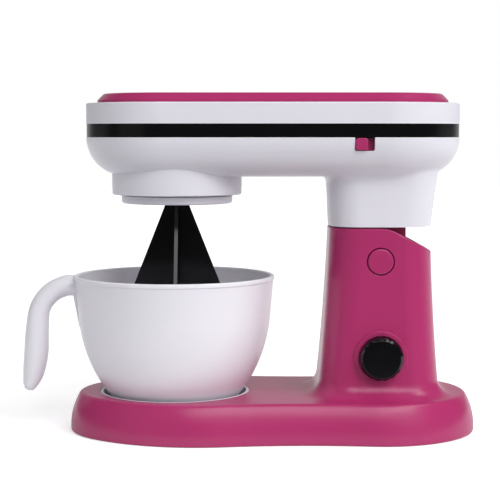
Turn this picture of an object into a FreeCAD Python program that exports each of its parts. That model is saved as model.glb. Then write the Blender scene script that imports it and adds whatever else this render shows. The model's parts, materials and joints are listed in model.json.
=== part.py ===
import FreeCAD, Part
import math
import os

from FreeCAD import Vector

# Toy stand mixer with a tilting head, a lift-out bowl and a battery drive.
# Millimetres, +Z up, +X from the bowl towards the column, the front with the knob looks along -Y.
# The origin is the point where the paddle's axis meets the surface the toy stands on.

# General walls and clearances
WALL = 2.4              # moulded wall of the head
BASE_WALL = 2.6         # moulded wall of the base and column
FIT = 0.15              # gap round a fixed piece
RUN = 0.05              # radial clearance of a running fit
PLAY = 0.4              # gap between pieces that pass each other
SEAT_GAP = 0.1          # gap under a piece that rests loose

# Bowl: radii of its wall are given as the step in from the rim
BOWL_X = -1.75          # the bowl stands a little to the left of the paddle's axis
BOWL_TOP_Z = 93.2
BOWL_RIM_R = 60.4
BOWL_RIM_H = 2.6
BOWL_RIM_EDGE_R = 0.9
BOWL_WALL = 2.1
BOWL_BAND = (0.6, 90.6)
BOWL_SHOULDER = (2.75, 66.0)
BOWL_BELLY = (8.8, 42.4)
BOWL_HEEL = (21.9, 20.4)
BOWL_FOOT_IN = 27.0
BOWL_FOOT_W = 3.0
BOWL_FOOT_H = 1.4
BOWL_FOOT_DRAFT = 0.6

# Bowl seat
SEAT_R = BOWL_RIM_R - 15.3
SEAT_WALL = 2.0
SEAT_FLOOR_Z = 9.0
SEAT_FLOOR_T = 2.2
SEAT_DRAFT = 0.8
SEAT_UPRIGHT = 2.5      # the seat's wall is upright this far below its rim
SEAT_CORNER_R = 2.0
SEAT_RIM_EDGE_R = 0.5
SEAT_POST_PCR = 26.0

# Base: a nose, two flanks, two waists and a tail, all tangent arcs
BASE_NOSE_OVER = 17.85  # from the seat's rim to the nose
BASE_FLANK_OVER = 15.6  # from the seat's rim to the widest place
BASE_FLANK_X = 13.1     # the widest place
BASE_FLANK_R = 91.0
BASE_WAIST_R = 284.0
BASE_TAIL_R = 58.1
BASE_TAIL_X = 121.3
BASE_H = 23.3
BASE_SIDE_R = 37.4      # convex curve of the side wall
BASE_SIDE_Z = 3.0       # the side is upright below this height
BASE_TOP_EDGE_R = 3.0
BASE_FOOT_EDGE_R = 1.2
SEAM_W = 0.24           # groove where the two halves meet
SEAM_DEPTH = 0.35
PLATE_T = 2.2           # bottom plate, flush with the foot of the walls
PAD_T = 3.8             # plate with the pad round a screw

# Column: (left, right, half depth) at three heights
COLUMN_TOP_Z = 124.0
COLUMN_MID_Z = 75.0
COLUMN_TOP = (91.1, 151.2, 29.5)
COLUMN_MID = (88.5, 152.9, 31.8)
COLUMN_FOOT = (84.2, 156.3, 36.4)
COLUMN_CORNER_R = 19.0
COLUMN_EDGE = 0.6       # bevel of the edges at the top
COLUMN_FOOT_R = 11.0    # fillet onto the base

# Tilt hinge, on the axis of the release button
HINGE_X = 120.3
HINGE_Z = 103.7
TILT_DEG = 28.0
NECK_DROP = 20.1        # from the hinge axis up to the underside of the neck
CAP_GAP = 0.8           # between the column's top and the neck
TRUNNION_R = 6.0
CHEEK_OUT_Y = 18.6      # outer faces of the hinge block's cheeks
CHEEK_T = 3.8
CHEEK_HUB_R = 10.5
CHEEK_HUB_Y = 12.4      # inner face of the front hub, where the lock notches are
BLOCK_HALF = 15.6       # half width of the block and radius of its round foot
BLOCK_WEB = 2.2
BLOCK_FLANGE_T = 2.5
BLOCK_FLANGE_OVER = 10.4
BLOCK_SCREW_Y = 14.0
BLOCK_POST_H = 6.2
BLOCK_POST_R = 3.6

# Release button and its lock spring
BUTTON_R = 7.55
BUTTON_BORE_R = 8.1
BUTTON_T = 3.0
BUTTON_DOME = 0.6
BUTTON_EDGE_R = 1.0
BUTTON_BORE_EDGE_R = 0.4
BUTTON_TRAVEL = 2.5
BUTTON_STEM_R = 3.6
BUTTON_POCKET_T = 2.2
BUTTON_SNAP_R = 4.5
BUTTON_SNAP_T = 1.0
LOCK_STRIP_T = 0.5
LOCK_STRIP_W = 4.0
LOCK_HALF = 11.4
LOCK_DEPTH = 6.5        # from the front strip to the back strip
LOCK_TOOTH_R = 8.2
LOCK_TOOTH_H = 3.3
LOCK_NOTCH_DEPTH = 2.3

# Knob
KNOB_Z = 47.7
KNOB_R = 12.5
KNOB_LOBES = 16
KNOB_SCALLOP_R = 3.4
KNOB_SCALLOP_BITE = 0.4
KNOB_H = 8.4
KNOB_BEVEL = 1.5
KNOB_SHAFT_R = 4.0
KNOB_SHAFT_TUBE = 2.4
KNOB_SHAFT_L = 8.0
KNOB_WASHER_OVER = 2.6
KNOB_WASHER_T = 1.0
COLLAR_R = 15.7
COLLAR_W = 2.5
COLLAR_RISE = 1.1
COLLAR_EDGE_R = 0.35

# Head: stadium plan
HEAD_X = 57.55
HEAD_HALF_L = 111.6
HEAD_R = 48.0
HEAD_CORNER_R = 22.9    # full-depth round of the lower shell
BAND_Z = 176.2
BAND_H = 7.9
BAND_INSET = 0.2
UPPER_H = 12.3
UPPER_EDGE_R = 0.8
LIP_T = 1.1
LIP_H = 2.5
COVER_INSET = 6.7
COVER_H = 5.6
COVER_BEVEL = 3.9
COVER_WALL = 2.0
COVER_EDGE_R = 2.4
HOOK_HALF = 3.8
HOOK_T = 1.6
HOOK_BARB = 1.8
HOOK_DROP = 1.6         # below the upper shell's wall

# Neck of the head: (left, right, half depth) at the joint and at the head
NECK_FOOT = (91.3, 151.35, 29.5)
NECK_ROOT = (90.0, 155.0, 31.0)
NECK_ROOT_Z = 156.0
NECK_CORNER_R = 18.0
NECK_FILLET_R = 4.5

# Boss, disc and paddle on the mixing axis
BOSS_R = 38.85
BOSS_BOTTOM_Z = 142.0
BOSS_EDGE_R = 0.8
DISC_R = 33.3
DISC_TOP_GAP = 0.7
DISC_H = 4.5
DISC_EDGE_R = 1.4
DISC_FLOOR = 2.0
DISC_WALL = 2.6
PADDLE_T = 2.1
PADDLE_TOP_HALF = 6.9
PADDLE_FLARE_DEG = 21.4
PADDLE_WIDE_Z = 71.0
PADDLE_BOTTOM_Z = 50.0
PADDLE_BOTTOM_HALF = 20.0
PADDLE_CORNER_R = 7.0
SHANK_SIDE = 6.9
SHANK_L = 12.5

# Drive train: motor pinion, compound gear, output gear on the spindle
MODULE_FAST = 0.6
MODULE_SLOW = 0.8
PINION_TEETH = 8
WHEEL_TEETH = 48
SMALL_TEETH = 10
OUTPUT_TEETH = 50
BACKLASH = 0.16
GEAR_FAST_T = 3.0
GEAR_SLOW_T = 4.0
GEAR_STEP = 1.0
GEAR_HUB_R = 3.2
WHEEL_RIM_W = 2.8
WHEEL_DISH = 1.0
OUTPUT_RIM_W = 3.4
OUTPUT_HUB_R = 8.0
OUTPUT_DISH = 1.4
AXLE_IN_POST = 7.0
OUTPUT_Z = 153.0        # underside of the output gear
SPINDLE_R = 8.0
SPINDLE_NECK_R = 6.2
SPINDLE_SHOULDER_R = 10.0
SPINDLE_SEAT_R = 5.0
JOURNAL_R = 3.0
BUSH_WALL = 2.4
BUSH_FLANGE_T = 1.6
BUSH_FLANGE_R = 13.0
AXLE_R = 1.25
GEAR_POST_R = 3.5
PLATE_Z = 164.0         # underside of the gear plate
GEAR_PLATE_T = 2.5
GEAR_PLATE_X = (-31.0, 62.0)
GEAR_PLATE_HALF = 22.0
GEAR_PLATE_POSTS = ((-25.0, 16.0), (-25.0, -16.0), (56.0, 16.0), (56.0, -16.0))
MOTOR_R = 10.0
MOTOR_FLAT = 7.6
MOTOR_CAN_H = 17.5
MOTOR_CAP_R = 8.6
MOTOR_CAP_H = 6.0
MOTOR_SHAFT_R = 1.0
MOTOR_NOSE_R = 3.0
MOTOR_NOSE_L = 1.5
MOTOR_CUP_WALL = 1.6
MOTOR_CUP_H = 5.0
TERMINAL = (3.5, 2.4, 0.5)
CLAMP_T = 2.0
CLAMP_POST_Y = 16.0
CLAMP_POST_R = 3.2

# Slide switch in the front of the head
SWITCH_X = (103.6, 115.0)
SWITCH_WINDOW_H = 7.7
SWITCH_CORNER_R = 1.2
SLIDER_W = 7.1
SLIDER_H = 7.0
SLIDER_PROUD = 0.7
SLIDER_CORNER_R = 1.5
SLIDER_EDGE_R = 0.6
SLIDER_TRAVEL = 3.5
SLIDER_FLANGE_T = 1.2
SLIDER_FLANGE_L = 22.0
SLIDER_FLANGE_OVER = 1.0
SLIDER_PIN_R = 1.2
SLIDER_PIN_L = 3.6
SWITCH_BODY = (20.0, 6.5, 6.4)

# Screws
SCREW_R = 1.25
SCREW_HEAD_R = 2.8
SCREW_HEAD_T = 1.7
SCREW_SLOT = (0.8, 0.7)  # width and depth of the slot
SCREW_SINK = 2.2        # depth of the recess a screw head lies in
POST_R = 3.8
TUBE_WALL = 2.0         # round the head of a sunk screw
NOSE_SCREW_DEG = (55.0, 125.0)
NOSE_SCREW_OVER = 4.5   # from the seat's rim to the middle of a screw
TAIL_SCREWS = ((83.0, 45.0), (151.0, 38.0))
BASE_SCREW_L = 12.0
COLUMN_SCREWS = ((97.6, 112.5), (96.6, 78.0), (144.2, 78.0), (95.6, 38.0), (147.2, 38.0))
COLUMN_SCREW_HEAD_Y = 12.0
COLUMN_SCREW_L = 22.0
HEAD_SCREWS = ((-37.9, 21.0), (63.1, 35.0), (152.1, 20.0))
HEAD_POST_TOP_Z = 180.0
HEAD_SCREW_L = 22.0

# Battery bay under the column: two AA cells side by side along X
CELL_R = 7.1
CELL_L = 50.0
CELL_NUB = (2.7, 1.2)
BAY_X = 123.1
BAY_WALL = 1.8
CONTACT_SPACE = 4.6
CONTACT_T = 0.6
CONTACT_HALF = 5.0
CONTACT_CONE = (5.2, 2.6)
DOOR_TONGUE = 3.0
DOOR_SCREW_REACH = 8.2
DOOR_SCREW_L = 6.0

# Handle: points on the centre line as (step out from the bowl's rim, height, half thickness)
HANDLE_PATH = (
    (-4.75, 86.5, 6.2),
    (5.35, 86.6, 6.3),
    (14.55, 82.1, 6.2),
    (21.05, 73.0, 6.3),
    (22.85, 60.0, 7.0),
    (23.65, 46.5, 7.3),
    (25.35, 34.5, 6.4),
    (27.55, 27.0, 4.5),
    (29.35, 23.4, 2.6),
)
HANDLE_WIDE = 1.15      # depth of the handle's section over its thickness
HANDLE_TIP_R = 1.4
ROOT_PAD_T = 1.65       # thickening of the wall just under the handle
ROOT_PAD_HALF = 7.0
ROOT_PAD_Z = (62.3, 80.3)
ROOT_PAD_EDGE_R = 1.0


def vec(x, y, z):
    """Point."""
    return Vector(x, y, z)


def cylinder(r, z0, z1, x=0.0, y=0.0):
    """Upright cylinder between two heights."""
    return Part.makeCylinder(r, z1 - z0, vec(x, y, z0))


def cylinder_y(r, y0, y1, x, z):
    """Cylinder along +Y between two depths."""
    return Part.makeCylinder(r, y1 - y0, vec(x, y0, z), vec(0, 1, 0))


def block(x0, x1, y0, y1, z0, z1):
    """Box between three pairs of limits."""
    return Part.makeBox(x1 - x0, y1 - y0, z1 - z0, vec(x0, y0, z0))


def prism(wire, height):
    """Upright solid on a flat wire."""
    return Part.Face(wire).extrude(vec(0, 0, height))


def fused(shapes):
    """One solid from several that touch."""
    first = shapes[0]
    return first.fuse(shapes[1:]).removeSplitter() if len(shapes) > 1 else first


def arc(a, b, c):
    """Edge of the arc from a through b to c."""
    return Part.Arc(a, b, c).toShape()


def line(a, b):
    """Straight edge."""
    return Part.LineSegment(a, b).toShape()


def polygon_y(points, y0, y1):
    """Prism along Y of a polygon given by (x, z) points."""
    corners = [vec(x, y0, z) for x, z in points]
    face = Part.Face(Part.makePolygon(corners + corners[:1]))
    return face.extrude(vec(0, y1 - y0, 0))


def revolved(edges):
    """Solid of revolution about the mixing axis from edges in the XZ plane."""
    return Part.Face(Part.Wire(edges)).revolve(vec(0, 0, 0), vec(0, 0, 1), 360)


def stadium_wire(inset, z):
    """Outline of the head, drawn in by inset."""
    r = HEAD_R - inset
    reach = HEAD_HALF_L - HEAD_R
    x0 = HEAD_X - reach
    x1 = HEAD_X + reach
    edges = [
        line(vec(x0, -r, z), vec(x1, -r, z)),
        arc(vec(x1, -r, z), vec(x1 + r, 0, z), vec(x1, r, z)),
        line(vec(x1, r, z), vec(x0, r, z)),
        arc(vec(x0, r, z), vec(x0 - r, 0, z), vec(x0, -r, z)),
    ]
    return Part.Wire(edges)


def rounded_rect_wire(x0, x1, half, r, z):
    """Rectangle with round corners, symmetric about Y = 0."""
    k = r * (1 - math.sqrt(0.5))
    edges = [
        line(vec(x0 + r, -half, z), vec(x1 - r, -half, z)),
        arc(vec(x1 - r, -half, z), vec(x1 - k, -half + k, z), vec(x1, -half + r, z)),
        line(vec(x1, -half + r, z), vec(x1, half - r, z)),
        arc(vec(x1, half - r, z), vec(x1 - k, half - k, z), vec(x1 - r, half, z)),
        line(vec(x1 - r, half, z), vec(x0 + r, half, z)),
        arc(vec(x0 + r, half, z), vec(x0 + k, half - k, z), vec(x0, half - r, z)),
        line(vec(x0, half - r, z), vec(x0, -half + r, z)),
        arc(vec(x0, -half + r, z), vec(x0 + k, -half + k, z), vec(x0 + r, -half, z)),
    ]
    return Part.Wire(edges)


def screw_down(x, y, head_z, length):
    """Pan head screw driven downwards; head_z is the seat of its head."""
    head = cylinder(SCREW_HEAD_R, head_z, head_z + SCREW_HEAD_T, x, y)
    shank = cylinder(SCREW_R, head_z - length, head_z, x, y)
    wide, deep = SCREW_SLOT
    top = head_z + SCREW_HEAD_T
    slot = block(x - SCREW_HEAD_R, x + SCREW_HEAD_R, y - wide / 2, y + wide / 2, top - deep, top + 1)
    return fused([head, shank]).cut(slot)


def screw_up(x, y, head_z, length):
    """Pan head screw driven upwards; head_z is the seat of its head."""
    screw = screw_down(x, y, 0, length)
    screw.rotate(vec(x, y, 0), vec(1, 0, 0), 180)
    screw.translate(vec(0, 0, head_z))
    return screw


def screw_front(x, z, head_y, length):
    """Pan head screw driven towards the front; head_y is the seat of its head."""
    screw = screw_down(0, 0, 0, length)
    screw.rotate(vec(0, 0, 0), vec(1, 0, 0), -90)
    screw.translate(vec(x, head_y, z))
    return screw


def grouped(shapes):
    """Several separate solids kept as one node."""
    return Part.makeCompound(shapes)


# Base and column

def base_side_inset(z):
    """How far the side wall has leaned in at a height."""
    rise = max(0.0, z - BASE_SIDE_Z)
    return BASE_SIDE_R - math.sqrt(BASE_SIDE_R ** 2 - rise ** 2)


def along(centre, target, radius):
    """Plan point at a radius from a centre, on the way to a target."""
    dx = target[0] - centre[0]
    dy = target[1] - centre[1]
    far = math.hypot(dx, dy)
    return centre[0] + dx * radius / far, centre[1] + dy * radius / far


def halfway(a, b):
    """Plan point in the middle of two."""
    return (a[0] + b[0]) / 2, (a[1] + b[1]) / 2


def meeting(a, from_a, b, from_b):
    """Plan point at given distances from two others, on the +Y side."""
    apart = math.hypot(b[0] - a[0], b[1] - a[1])
    run = (from_a ** 2 - from_b ** 2 + apart ** 2) / (2 * apart)
    rise = math.sqrt(from_a ** 2 - run ** 2)
    ux, uy = (b[0] - a[0]) / apart, (b[1] - a[1]) / apart
    return a[0] + ux * run - uy * rise, a[1] + uy * run + ux * rise


def base_centres():
    """Centres of nose, flank, waist and tail on the +Y side, and the nose's radius."""
    below = BASE_FLANK_R - SEAT_R - BASE_FLANK_OVER
    nose_end = BOWL_X - SEAT_R - BASE_NOSE_OVER
    reach = BASE_FLANK_X - nose_end
    nose_r = (BASE_FLANK_R ** 2 - reach ** 2 - below ** 2) / (2 * (BASE_FLANK_R - reach))
    flank = (BASE_FLANK_X, -below)
    tail = (BASE_TAIL_X, 0.0)
    waist = meeting(flank, BASE_FLANK_R + BASE_WAIST_R, tail, BASE_TAIL_R + BASE_WAIST_R)
    return (nose_end + nose_r, 0.0), flank, waist, tail, nose_r


def base_wire(inset, z):
    """Outline of the base at a height, drawn in by inset."""
    nose, flank, waist, tail, nose_r = base_centres()
    to_flank = along(flank, nose, BASE_FLANK_R - inset)
    to_waist = along(flank, waist, BASE_FLANK_R - inset)
    to_tail = along(tail, waist, BASE_TAIL_R - inset)
    flank_mid = along(flank, halfway(to_flank, to_waist), BASE_FLANK_R - inset)
    waist_mid = along(waist, halfway(to_waist, to_tail), BASE_WAIST_R + inset)
    left = (nose[0] - nose_r + inset, 0.0)
    right = (BASE_TAIL_X + BASE_TAIL_R - inset, 0.0)
    upper = [left, to_flank, flank_mid, to_waist, waist_mid, to_tail, right]
    lower = [(x, -y) for x, y in reversed(upper[1:-1])]
    points = [vec(x, y, z) for x, y in upper + lower]
    near_left = points[-1]
    edges = [
        arc(near_left, points[0], points[1]),
        arc(points[1], points[2], points[3]),
        arc(points[3], points[4], points[5]),
        arc(points[5], points[6], points[7]),
        arc(points[7], points[8], points[9]),
        arc(points[9], points[10], near_left),
    ]
    return Part.Wire(edges)


def base_solid(inset, top):
    """Base block up to a height, its side drawn in by inset."""
    steps = 5
    levels = [BASE_SIDE_Z + (top - BASE_SIDE_Z) * i / (steps - 1) for i in range(steps)]
    sides = Part.makeLoft([base_wire(inset + base_side_inset(z), z) for z in levels], True, False)
    foot = prism(base_wire(inset, 0), BASE_SIDE_Z)
    return fused([foot, sides])


def column_size(z):
    """(left, right, half depth) of the column at a height: a parabola through the stated three."""
    z0, z1, z2 = BASE_H, COLUMN_MID_Z, COLUMN_TOP_Z
    w0 = (z - z1) * (z - z2) / ((z0 - z1) * (z0 - z2))
    w1 = (z - z0) * (z - z2) / ((z1 - z0) * (z1 - z2))
    w2 = (z - z0) * (z - z1) / ((z2 - z0) * (z2 - z1))
    return tuple(w0 * f + w1 * m + w2 * t for f, m, t in zip(COLUMN_FOOT, COLUMN_MID, COLUMN_TOP))


def column_solid(inset, z0):
    """Column from z0 to above its top, drawn in by inset."""
    z1 = COLUMN_TOP_Z + 6
    wires = []
    for i in range(4):
        z = z0 + (z1 - z0) * i / 3
        left, right, half = column_size(z)
        wires.append(rounded_rect_wire(left + inset, right - inset, half - inset, COLUMN_CORNER_R - inset, z))
    return Part.makeLoft(wires, True, False)


def column_cap(radius):
    """Everything under the column's top: level, then rounded about the hinge, then sloping at the tilt angle."""
    turn = math.radians(TILT_DEG)
    mid = vec(HINGE_X + radius * math.sin(turn / 2), -90, HINGE_Z + radius * math.cos(turn / 2))
    start = vec(HINGE_X, -90, HINGE_Z + radius)
    end = vec(HINGE_X + radius * math.sin(turn), -90, HINGE_Z + radius * math.cos(turn))
    run = 90.0
    far = vec(end.x + run * math.cos(turn), -90, end.z - run * math.sin(turn))
    low = -5.0
    edges = [
        line(vec(-90, -90, low), vec(-90, -90, start.z)),
        line(vec(-90, -90, start.z), start),
        arc(start, mid, end),
        line(end, far),
        line(far, vec(far.x, -90, low)),
        line(vec(far.x, -90, low), vec(-90, -90, low)),
    ]
    return Part.Face(Part.Wire(edges)).extrude(vec(0, 180, 0))


def foot_edges(shape, top):
    """Edges where the column meets the top of the base."""
    left, right, half = column_size(top)
    found = []
    for edge in shape.Edges:
        box = edge.BoundBox
        level = abs(box.ZMin - top) < 0.01 and abs(box.ZMax - top) < 0.01
        inside = box.XMin > left - 1 and box.XMax < right + 1 and max(-box.YMin, box.YMax) < half + 1
        if level and inside:
            found.append(edge)
    return found


def above_cap(point, radius):
    """How far a point lies above the column's cap."""
    turn = math.radians(TILT_DEG)
    dx = point.x - HINGE_X
    dz = point.z - HINGE_Z
    if dx <= 0:
        return dz - radius
    if math.atan2(dx, dz) < turn:
        return math.hypot(dx, dz) - radius
    return dx * math.sin(turn) + dz * math.cos(turn) - radius


def cap_edges(column, radius):
    """Edges round the column's top, without the two lines across it where its curve starts and ends."""
    lines = (HINGE_X, HINGE_X + radius * math.sin(math.radians(TILT_DEG)))
    found = []
    for edge in column.Edges:
        mid = edge.valueAt((edge.FirstParameter + edge.LastParameter) / 2)
        points = [v.Point for v in edge.Vertexes] + [mid]
        across = edge.BoundBox.XLength < 0.01 and min(abs(mid.x - x) for x in lines) < 0.01
        if not across and max(abs(above_cap(p, radius)) for p in points) < 0.01:
            found.append(edge)
    return found


def outline_edges(shape, z, reach):
    """Edges lying at one height whose ends are further than reach from the mixing axis or the tail's centre."""
    found = []
    for edge in shape.Edges:
        box = edge.BoundBox
        if abs(box.ZMin - z) < 0.01 and abs(box.ZMax - z) < 0.01:
            mid = edge.valueAt((edge.FirstParameter + edge.LastParameter) / 2)
            if abs(mid.y) > reach or mid.x < -reach or mid.x > BASE_TAIL_X + reach:
                found.append(edge)
    return found


CAP_R = NECK_DROP - CAP_GAP
BUTTON_FACE_Y = -column_size(HINGE_Z)[2]
POCKET_FLOOR_Y = BUTTON_FACE_Y + BUTTON_T + BUTTON_TRAVEL + 1.2
TRUNNION_END_Y = CHEEK_HUB_Y - 0.2
SNAP_Y = -TRUNNION_END_Y + 0.1
LOCK_FRONT_Y = SNAP_Y + BUTTON_SNAP_T
LOCK_BACK_Y = LOCK_FRONT_Y + LOCK_DEPTH
NECK_Z = HINGE_Z + NECK_DROP
SLOT_X = (
    HINGE_X - BLOCK_HALF - 0.7,
    HINGE_X + BLOCK_HALF * math.cos(math.radians(TILT_DEG)) + CAP_R * math.sin(math.radians(TILT_DEG)) + 0.9,
)
SLOT_HALF = CHEEK_OUT_Y + 0.7


def housing_outer(inset):
    """Outside of base and column drawn in by inset, with the fillet at the column's foot."""
    top = BASE_H - inset
    base = base_solid(inset, top)
    base = base.makeFillet(BASE_TOP_EDGE_R - inset, outline_edges(base, top, 30))
    column = column_solid(inset, BASE_H - 6).common(column_cap(CAP_R - inset))
    column = column.makeChamfer(COLUMN_EDGE - inset / 2, cap_edges(column, CAP_R - inset))
    whole = fused([base, column])
    whole = whole.makeFillet(COLUMN_FOOT_R + inset, foot_edges(whole, top))
    return whole.makeFillet(BASE_FOOT_EDGE_R - inset, outline_edges(whole, 0, 30))


def seam_groove():
    """Cutter of the fine groove round the seam of the two halves."""
    slab = block(-200, 300, -SEAM_W / 2, SEAM_W / 2, BASE_FOOT_EDGE_R + SEAM_DEPTH, 200)
    return slab.cut(housing_outer(SEAM_DEPTH))


def housing_shell(outer):
    """Open-bottomed shell of base and column."""
    hollow_base = base_solid(BASE_WALL, BASE_H - BASE_WALL)
    hollow_column = column_solid(BASE_WALL, 1).common(column_cap(CAP_R - BASE_WALL))
    shell = outer.cut(fused([hollow_base, hollow_column]))
    seat_hole = cylinder(SEAT_R + FIT, BASE_H - BASE_WALL - 4, BASE_H + 1, BOWL_X)
    slot = block(SLOT_X[0], SLOT_X[1], -SLOT_HALF, SLOT_HALF, HINGE_Z + 4, NECK_Z + 9)
    return shell.cut(seat_hole).cut(slot)


def base_screw_places():
    """Places on the +Y side of the screws that hold the bottom plate."""
    ring = SEAT_R + NOSE_SCREW_OVER
    turns = [math.radians(a) for a in NOSE_SCREW_DEG]
    return [(BOWL_X + ring * math.cos(a), ring * math.sin(a)) for a in turns] + list(TAIL_SCREWS)


def plate_posts(side, outer):
    """Posts in one half of the base that take the bottom plate's screws."""
    posts = [cylinder(POST_R, PAD_T, BASE_H - 1, x, side * y) for x, y in base_screw_places()]
    return [p.common(outer) for p in posts]


def plate_pilots(side):
    """Pilot holes of the bottom plate's screws."""
    top = BASE_H - BASE_WALL - 2
    return [cylinder(SCREW_R + RUN, 0, top, x, side * y) for x, y in base_screw_places()]


def bore_rim(half):
    """Edge where the button's bore opens in the column's front."""
    found = []
    for edge in half.Edges:
        points = edge.discretize(9)
        off = max(abs(math.hypot(p.x - HINGE_X, p.z - HINGE_Z) - BUTTON_BORE_R) for p in points)
        if off < 0.01 and max(p.y for p in points) < BUTTON_FACE_Y + 1:
            found.append(edge)
    return found


def base_front(outer, shell):
    """Front half of base and column, with the button pocket, front trunnion, knob collar and screw bosses."""
    half = shell.common(block(-200, 300, -200, 0, -10, 200))
    adds = plate_posts(-1, outer)
    for x, z in COLUMN_SCREWS:
        adds.append(cylinder_y(POST_R, -60, 0, x, z).common(outer))
    pocket_back = POCKET_FLOOR_Y + BUTTON_POCKET_T
    adds.append(cylinder_y(BUTTON_BORE_R + BASE_WALL, -60, pocket_back, HINGE_X, HINGE_Z).common(outer))
    adds.append(cylinder_y(TRUNNION_R, POCKET_FLOOR_Y, -TRUNNION_END_Y, HINGE_X, HINGE_Z))
    knob_face = -column_size(KNOB_Z)[2]
    collar = cylinder_y(COLLAR_R, knob_face - COLLAR_RISE, knob_face + 2, HINGE_X, KNOB_Z)
    collar_edge = [e for e in collar.Edges if abs(e.BoundBox.YMax - (knob_face - COLLAR_RISE)) < 0.01]
    collar = collar.makeFillet(COLLAR_EDGE_R, collar_edge)
    adds.append(collar)
    tube_r = KNOB_SHAFT_R + KNOB_SHAFT_TUBE
    adds.append(cylinder_y(tube_r, knob_face + 1, knob_face + KNOB_SHAFT_L, HINGE_X, KNOB_Z))
    half = fused([half] + adds)
    cuts = plate_pilots(-1)
    for x, z in COLUMN_SCREWS:
        cuts.append(cylinder_y(SCREW_R + RUN, COLUMN_SCREW_HEAD_Y - COLUMN_SCREW_L - 1, 1, x, z))
    cuts.append(cylinder_y(BUTTON_BORE_R, -60, POCKET_FLOOR_Y, HINGE_X, HINGE_Z))
    cuts.append(cylinder_y(BUTTON_STEM_R + RUN, -60, 0, HINGE_X, HINGE_Z))
    cuts.append(cylinder_y(COLLAR_R - COLLAR_W, knob_face - 9, knob_face + 0.6, HINGE_X, KNOB_Z))
    cuts.append(cylinder_y(KNOB_SHAFT_R + RUN, -60, 0, HINGE_X, KNOB_Z))
    half = half.cut(cuts)
    return half.makeFillet(BUTTON_BORE_EDGE_R, bore_rim(half))


def base_rear(outer, shell):
    """Rear half of base and column, with the rear trunnion and the screw tubes."""
    half = shell.common(block(-200, 300, 0, 200, -10, 200))
    adds = plate_posts(1, outer)
    for x, z in COLUMN_SCREWS:
        adds.append(cylinder_y(SCREW_HEAD_R + TUBE_WALL, 0, 60, x, z).common(outer))
    adds.append(cylinder_y(TRUNNION_R, TRUNNION_END_Y, 60, HINGE_X, HINGE_Z).common(outer))
    half = fused([half] + adds)
    stub = cylinder_y(TRUNNION_R - 1, LOCK_BACK_Y + LOCK_STRIP_T, TRUNNION_END_Y, HINGE_X, HINGE_Z)
    half = fused([half, stub])
    cuts = plate_pilots(1)
    for x, z in COLUMN_SCREWS:
        cuts.append(cylinder_y(SCREW_R + FIT, -1, COLUMN_SCREW_HEAD_Y, x, z))
        cuts.append(cylinder_y(SCREW_HEAD_R + FIT, COLUMN_SCREW_HEAD_Y, 60, x, z))
    cuts.append(cylinder_y(SCREW_R + RUN, LOCK_BACK_Y - 1, LOCK_BACK_Y + 9, HINGE_X, HINGE_Z))
    return half.cut(cuts)


BAY_HALF_L = CELL_L / 2 + CONTACT_SPACE
BAY_HALF_W = 2 * CELL_R + 0.9
CELL_Z = PLATE_T + 0.3 + CELL_R
BAY_TOP_Z = CELL_Z + CELL_R + 0.5
DOOR_END_X = BAY_X + BAY_HALF_L + BAY_WALL + DOOR_SCREW_REACH
DOOR_SCREW_X = DOOR_END_X - POST_R
DOOR_POST_TOP = SCREW_SINK + DOOR_SCREW_L + 1


def bottom_plate():
    """Flush plate that closes the base, with the battery bay standing on it."""
    plate = prism(base_wire(BASE_WALL + FIT, 0), PLATE_T)
    x0 = BAY_X - BAY_HALF_L
    x1 = BAY_X + BAY_HALF_L
    bay = block(x0 - BAY_WALL, x1 + BAY_WALL, -BAY_HALF_W - BAY_WALL, BAY_HALF_W + BAY_WALL, 0, BAY_TOP_Z + BAY_WALL)
    post_half = POST_R + BAY_WALL
    door_post = block(x1, DOOR_END_X + BAY_WALL, -post_half, post_half, 0, DOOR_POST_TOP)
    door_pad = block(DOOR_SCREW_X - POST_R - FIT, DOOR_END_X + FIT, -POST_R - FIT, POST_R + FIT, -1, PAD_T)
    pads = [cylinder(POST_R, 0, PAD_T, x, s * y) for s in (-1, 1) for x, y in base_screw_places()]
    pads += [cylinder(POST_R, 0, PAD_T, x, y) for x, y in seat_posts()]
    body = fused([plate, bay, door_post] + pads)
    cuts = [
        block(x0, x1, -BAY_HALF_W, BAY_HALF_W, -1, BAY_TOP_Z),
        block(x0, DOOR_END_X + FIT, -BAY_HALF_W, BAY_HALF_W, -1, PLATE_T),
        block(x0 - DOOR_TONGUE, x0 + 1, -BAY_HALF_W / 2, BAY_HALF_W / 2, PLATE_T, PLATE_T + 1.5),
        door_pad,
        cylinder(SCREW_R + RUN, PLATE_T - 1, DOOR_POST_TOP - 0.5, DOOR_SCREW_X, 0),
    ]
    for side in (-1, 1):
        for x, y in base_screw_places():
            cuts.append(cylinder(SCREW_R + FIT, -1, PAD_T + 1, x, side * y))
            cuts.append(cylinder(SCREW_HEAD_R + FIT, -1, SCREW_SINK, x, side * y))
    for x, y in seat_posts():
        cuts.append(cylinder(SCREW_R + FIT, -1, PAD_T + 1, x, y))
        cuts.append(cylinder(SCREW_HEAD_R + FIT, -1, SCREW_SINK, x, y))
    return body.cut(cuts)


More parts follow.
